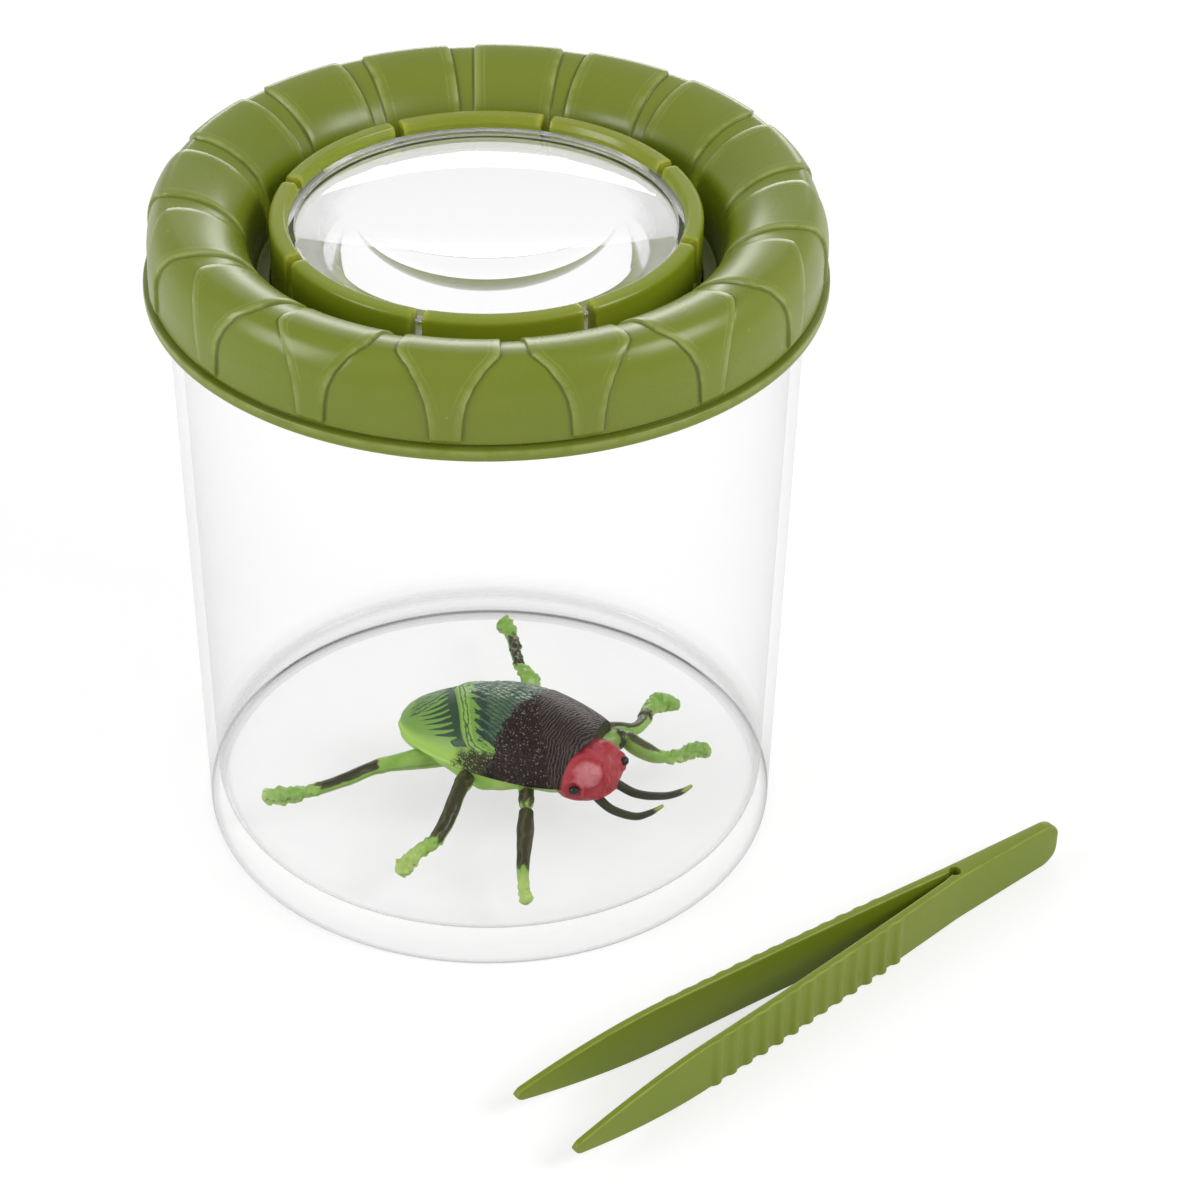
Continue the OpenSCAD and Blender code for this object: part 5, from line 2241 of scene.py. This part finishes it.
    def build(self) -> list[bpy.types.Object]:
        """Makes the whole beetle.

        Returns:
            Its pieces.
        """
        pieces = [self.belly(), self.wing_cases(), self.thorax(), self.head()]
        for side in Side:
            word = side.name.lower()
            path = self.limb_path(self.horns[side], self.horn_t)
            horn = self.limb(f"horn_{word}", path, self.horn_look, HORN_DARK)
            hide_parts(f"beetle_horn_{word}")
            pieces += [self.eye(side), horn]
        for word, (rows, look) in self.legs.items():
            leg = self.limb(f"leg_{word}", self.limb_path(rows, self.leg_t), look, LEG_LIME)
            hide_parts(f"beetle_leg_{word}")
            pieces.append(leg)
        return pieces


# The studio


@dataclass
class Lamp:
    """A soft rectangular lamp.

    Attributes:
        name: Its name.
        place_m: Where it hangs, in metres.
        size_m: Width and height, in metres.
        power: Its power in watts.
    """

    name: str
    place_m: Place
    size_m: Point
    power: float

    def hang(self, aim_m: Place) -> None:
        """Hangs the lamp so that it points at a place.

        Args:
            aim_m: That place, in metres.
        """
        data = bpy.data.lights.new(self.name, "AREA")
        data.shape = "RECTANGLE"
        data.size, data.size_y = self.size_m
        data.energy = self.power
        lamp = bpy.data.objects.new(self.name, data)
        lamp.location = self.place_m
        lamp.rotation_euler = (Vector(aim_m) - Vector(self.place_m)).to_track_quat("-Z", "Y").to_euler()
        bpy.context.scene.collection.objects.link(lamp)


@dataclass
class Studio:
    """The camera, the lamps, the white surroundings and the floor.

    Attributes:
        camera_m: Place of the camera, in metres.
        camera_tilt: How far it is turned up from straight down, in degrees.
        camera_lens: Its focal length.
        camera_shift: How far its picture is shifted sideways.
        sensor_w: Width of its sensor.
        clip_m: Nearest and furthest distance that it shows.
        aim_m: The place that the lamps point at.
        ambient: How bright the surroundings are as a light.
        floor_size: Width of the floor.
        floor_z: Height of the floor, a little under the object's foot.
        floor_grey: How light its matt face is.
        floor_bright: How bright its plain white is.
        floor_glow: Share of the floor near the object that is plain white. The rest keeps its shadows.
        floor_fade_m: Distances between which the floor turns plain white.
        mirrored: Share of the white surroundings that glossy surfaces show.
        lamps: The lamps.
    """

    camera_m: Place = (0.00477, -0.4527, 0.3692)
    camera_tilt: float = 53.988
    camera_lens: float = 95.03
    camera_shift: float = 0.0702
    sensor_w: float = 36.0
    clip_m: Point = (0.01, 20.0)
    aim_m: Place = (0.0, 0.0, 0.07)
    ambient: float = 0.5
    floor_size: float = 4000.0
    floor_z: float = -0.02
    floor_grey: float = 0.9
    floor_bright: float = 1.27
    floor_glow: float = 0.5
    floor_fade_m: Point = (0.2, 0.8)
    mirrored: float = 0.3
    lamps: tuple[Lamp, ...] = (
        Lamp("right_softbox", (0.90, -0.33, 0.82), (0.5, 0.5), 5.7),
        Lamp("left_softbox", (-1.03, -0.42, 0.55), (0.5, 0.5), 5.0),
        Lamp("back_softbox", (0.06, 1.15, 0.26), (0.9, 0.34), 3.2),
    )

    def set_camera(self) -> None:
        """Puts the camera where the photograph was taken from."""
        data = bpy.data.cameras.new("camera")
        data.lens, data.sensor_width, data.shift_x = self.camera_lens, self.sensor_w, self.camera_shift
        data.clip_start, data.clip_end = self.clip_m
        camera = bpy.data.objects.new("camera", data)
        camera.location = self.camera_m
        camera.rotation_euler = (math.radians(self.camera_tilt), 0.0, 0.0)
        bpy.context.scene.collection.objects.link(camera)
        bpy.context.scene.camera = camera

    def seen(self, shader: Shader) -> Sock:
        """1 for what the camera sees straight or through the clear plastic, and less in a mirror."""
        straight = shader.ray("Is Camera Ray", "Is Transmission Ray")
        return straight + shader.ray("Is Glossy Ray") * self.mirrored

    def light(self) -> None:
        """Hangs the lamps and makes the surroundings white."""
        for lamp in self.lamps:
            lamp.hang(self.aim_m)
        world = bpy.data.worlds.new("surroundings")
        bpy.context.scene.world = world
        shader = Shader(world)
        strength = self.seen(shader) * (1.0 - self.ambient) + self.ambient
        shader.finish(shader.made("ShaderNodeBackground", {"Color": WHITE, "Strength": strength}))

    def lay_floor(self) -> None:
        """Lays a white floor that keeps soft shadows."""
        ends = (-self.floor_size / 2, self.floor_size / 2)
        corners = np.array([[[x, y, self.floor_z] for x in ends] for y in ends])
        mesh = bpy.data.meshes.new("floor")
        mesh.from_pydata(corners.reshape(-1, 3) * MM, [], Grid(corners).quads())
        material = bpy.data.materials.new("floor")
        shader = Shader(material)
        matt = shader.made("ShaderNodeBsdfDiffuse", {"Color": (self.floor_grey,) * 3})
        glow = shader.made("ShaderNodeEmission", {"Color": WHITE, "Strength": self.floor_bright})
        seen = self.seen(shader)
        length = shader.node("ShaderNodeVectorMath", {"operation": "LENGTH"}, {0: shader.place()})
        far = Sock(shader, length.outputs["Value"]).rise(*self.floor_fade_m)
        glowing = seen * (far * (1.0 - self.floor_glow) + self.floor_glow)
        shader.finish(shader.mix_shaders(glowing, matt, glow))
        mesh.materials.append(material)
        floor = bpy.data.objects.new("floor", mesh)
        bpy.context.scene.collection.objects.link(floor)


def main() -> None:
    """Builds the studio and every piece."""
    logging.basicConfig(level=logging.INFO, format="%(message)s")
    scene = bpy.context.scene
    scene.view_settings.view_transform = "Standard"
    studio = Studio()
    studio.set_camera()
    studio.light()
    studio.lay_floor()
    for part in (Jar(), Lid(), ClipRing(), Lens(), Tweezers(), Beetle()):
        part.build()
        log.info("%s built", type(part).__name__)
    bpy.context.view_layer.update()


if __name__ == "__main__":
    main()
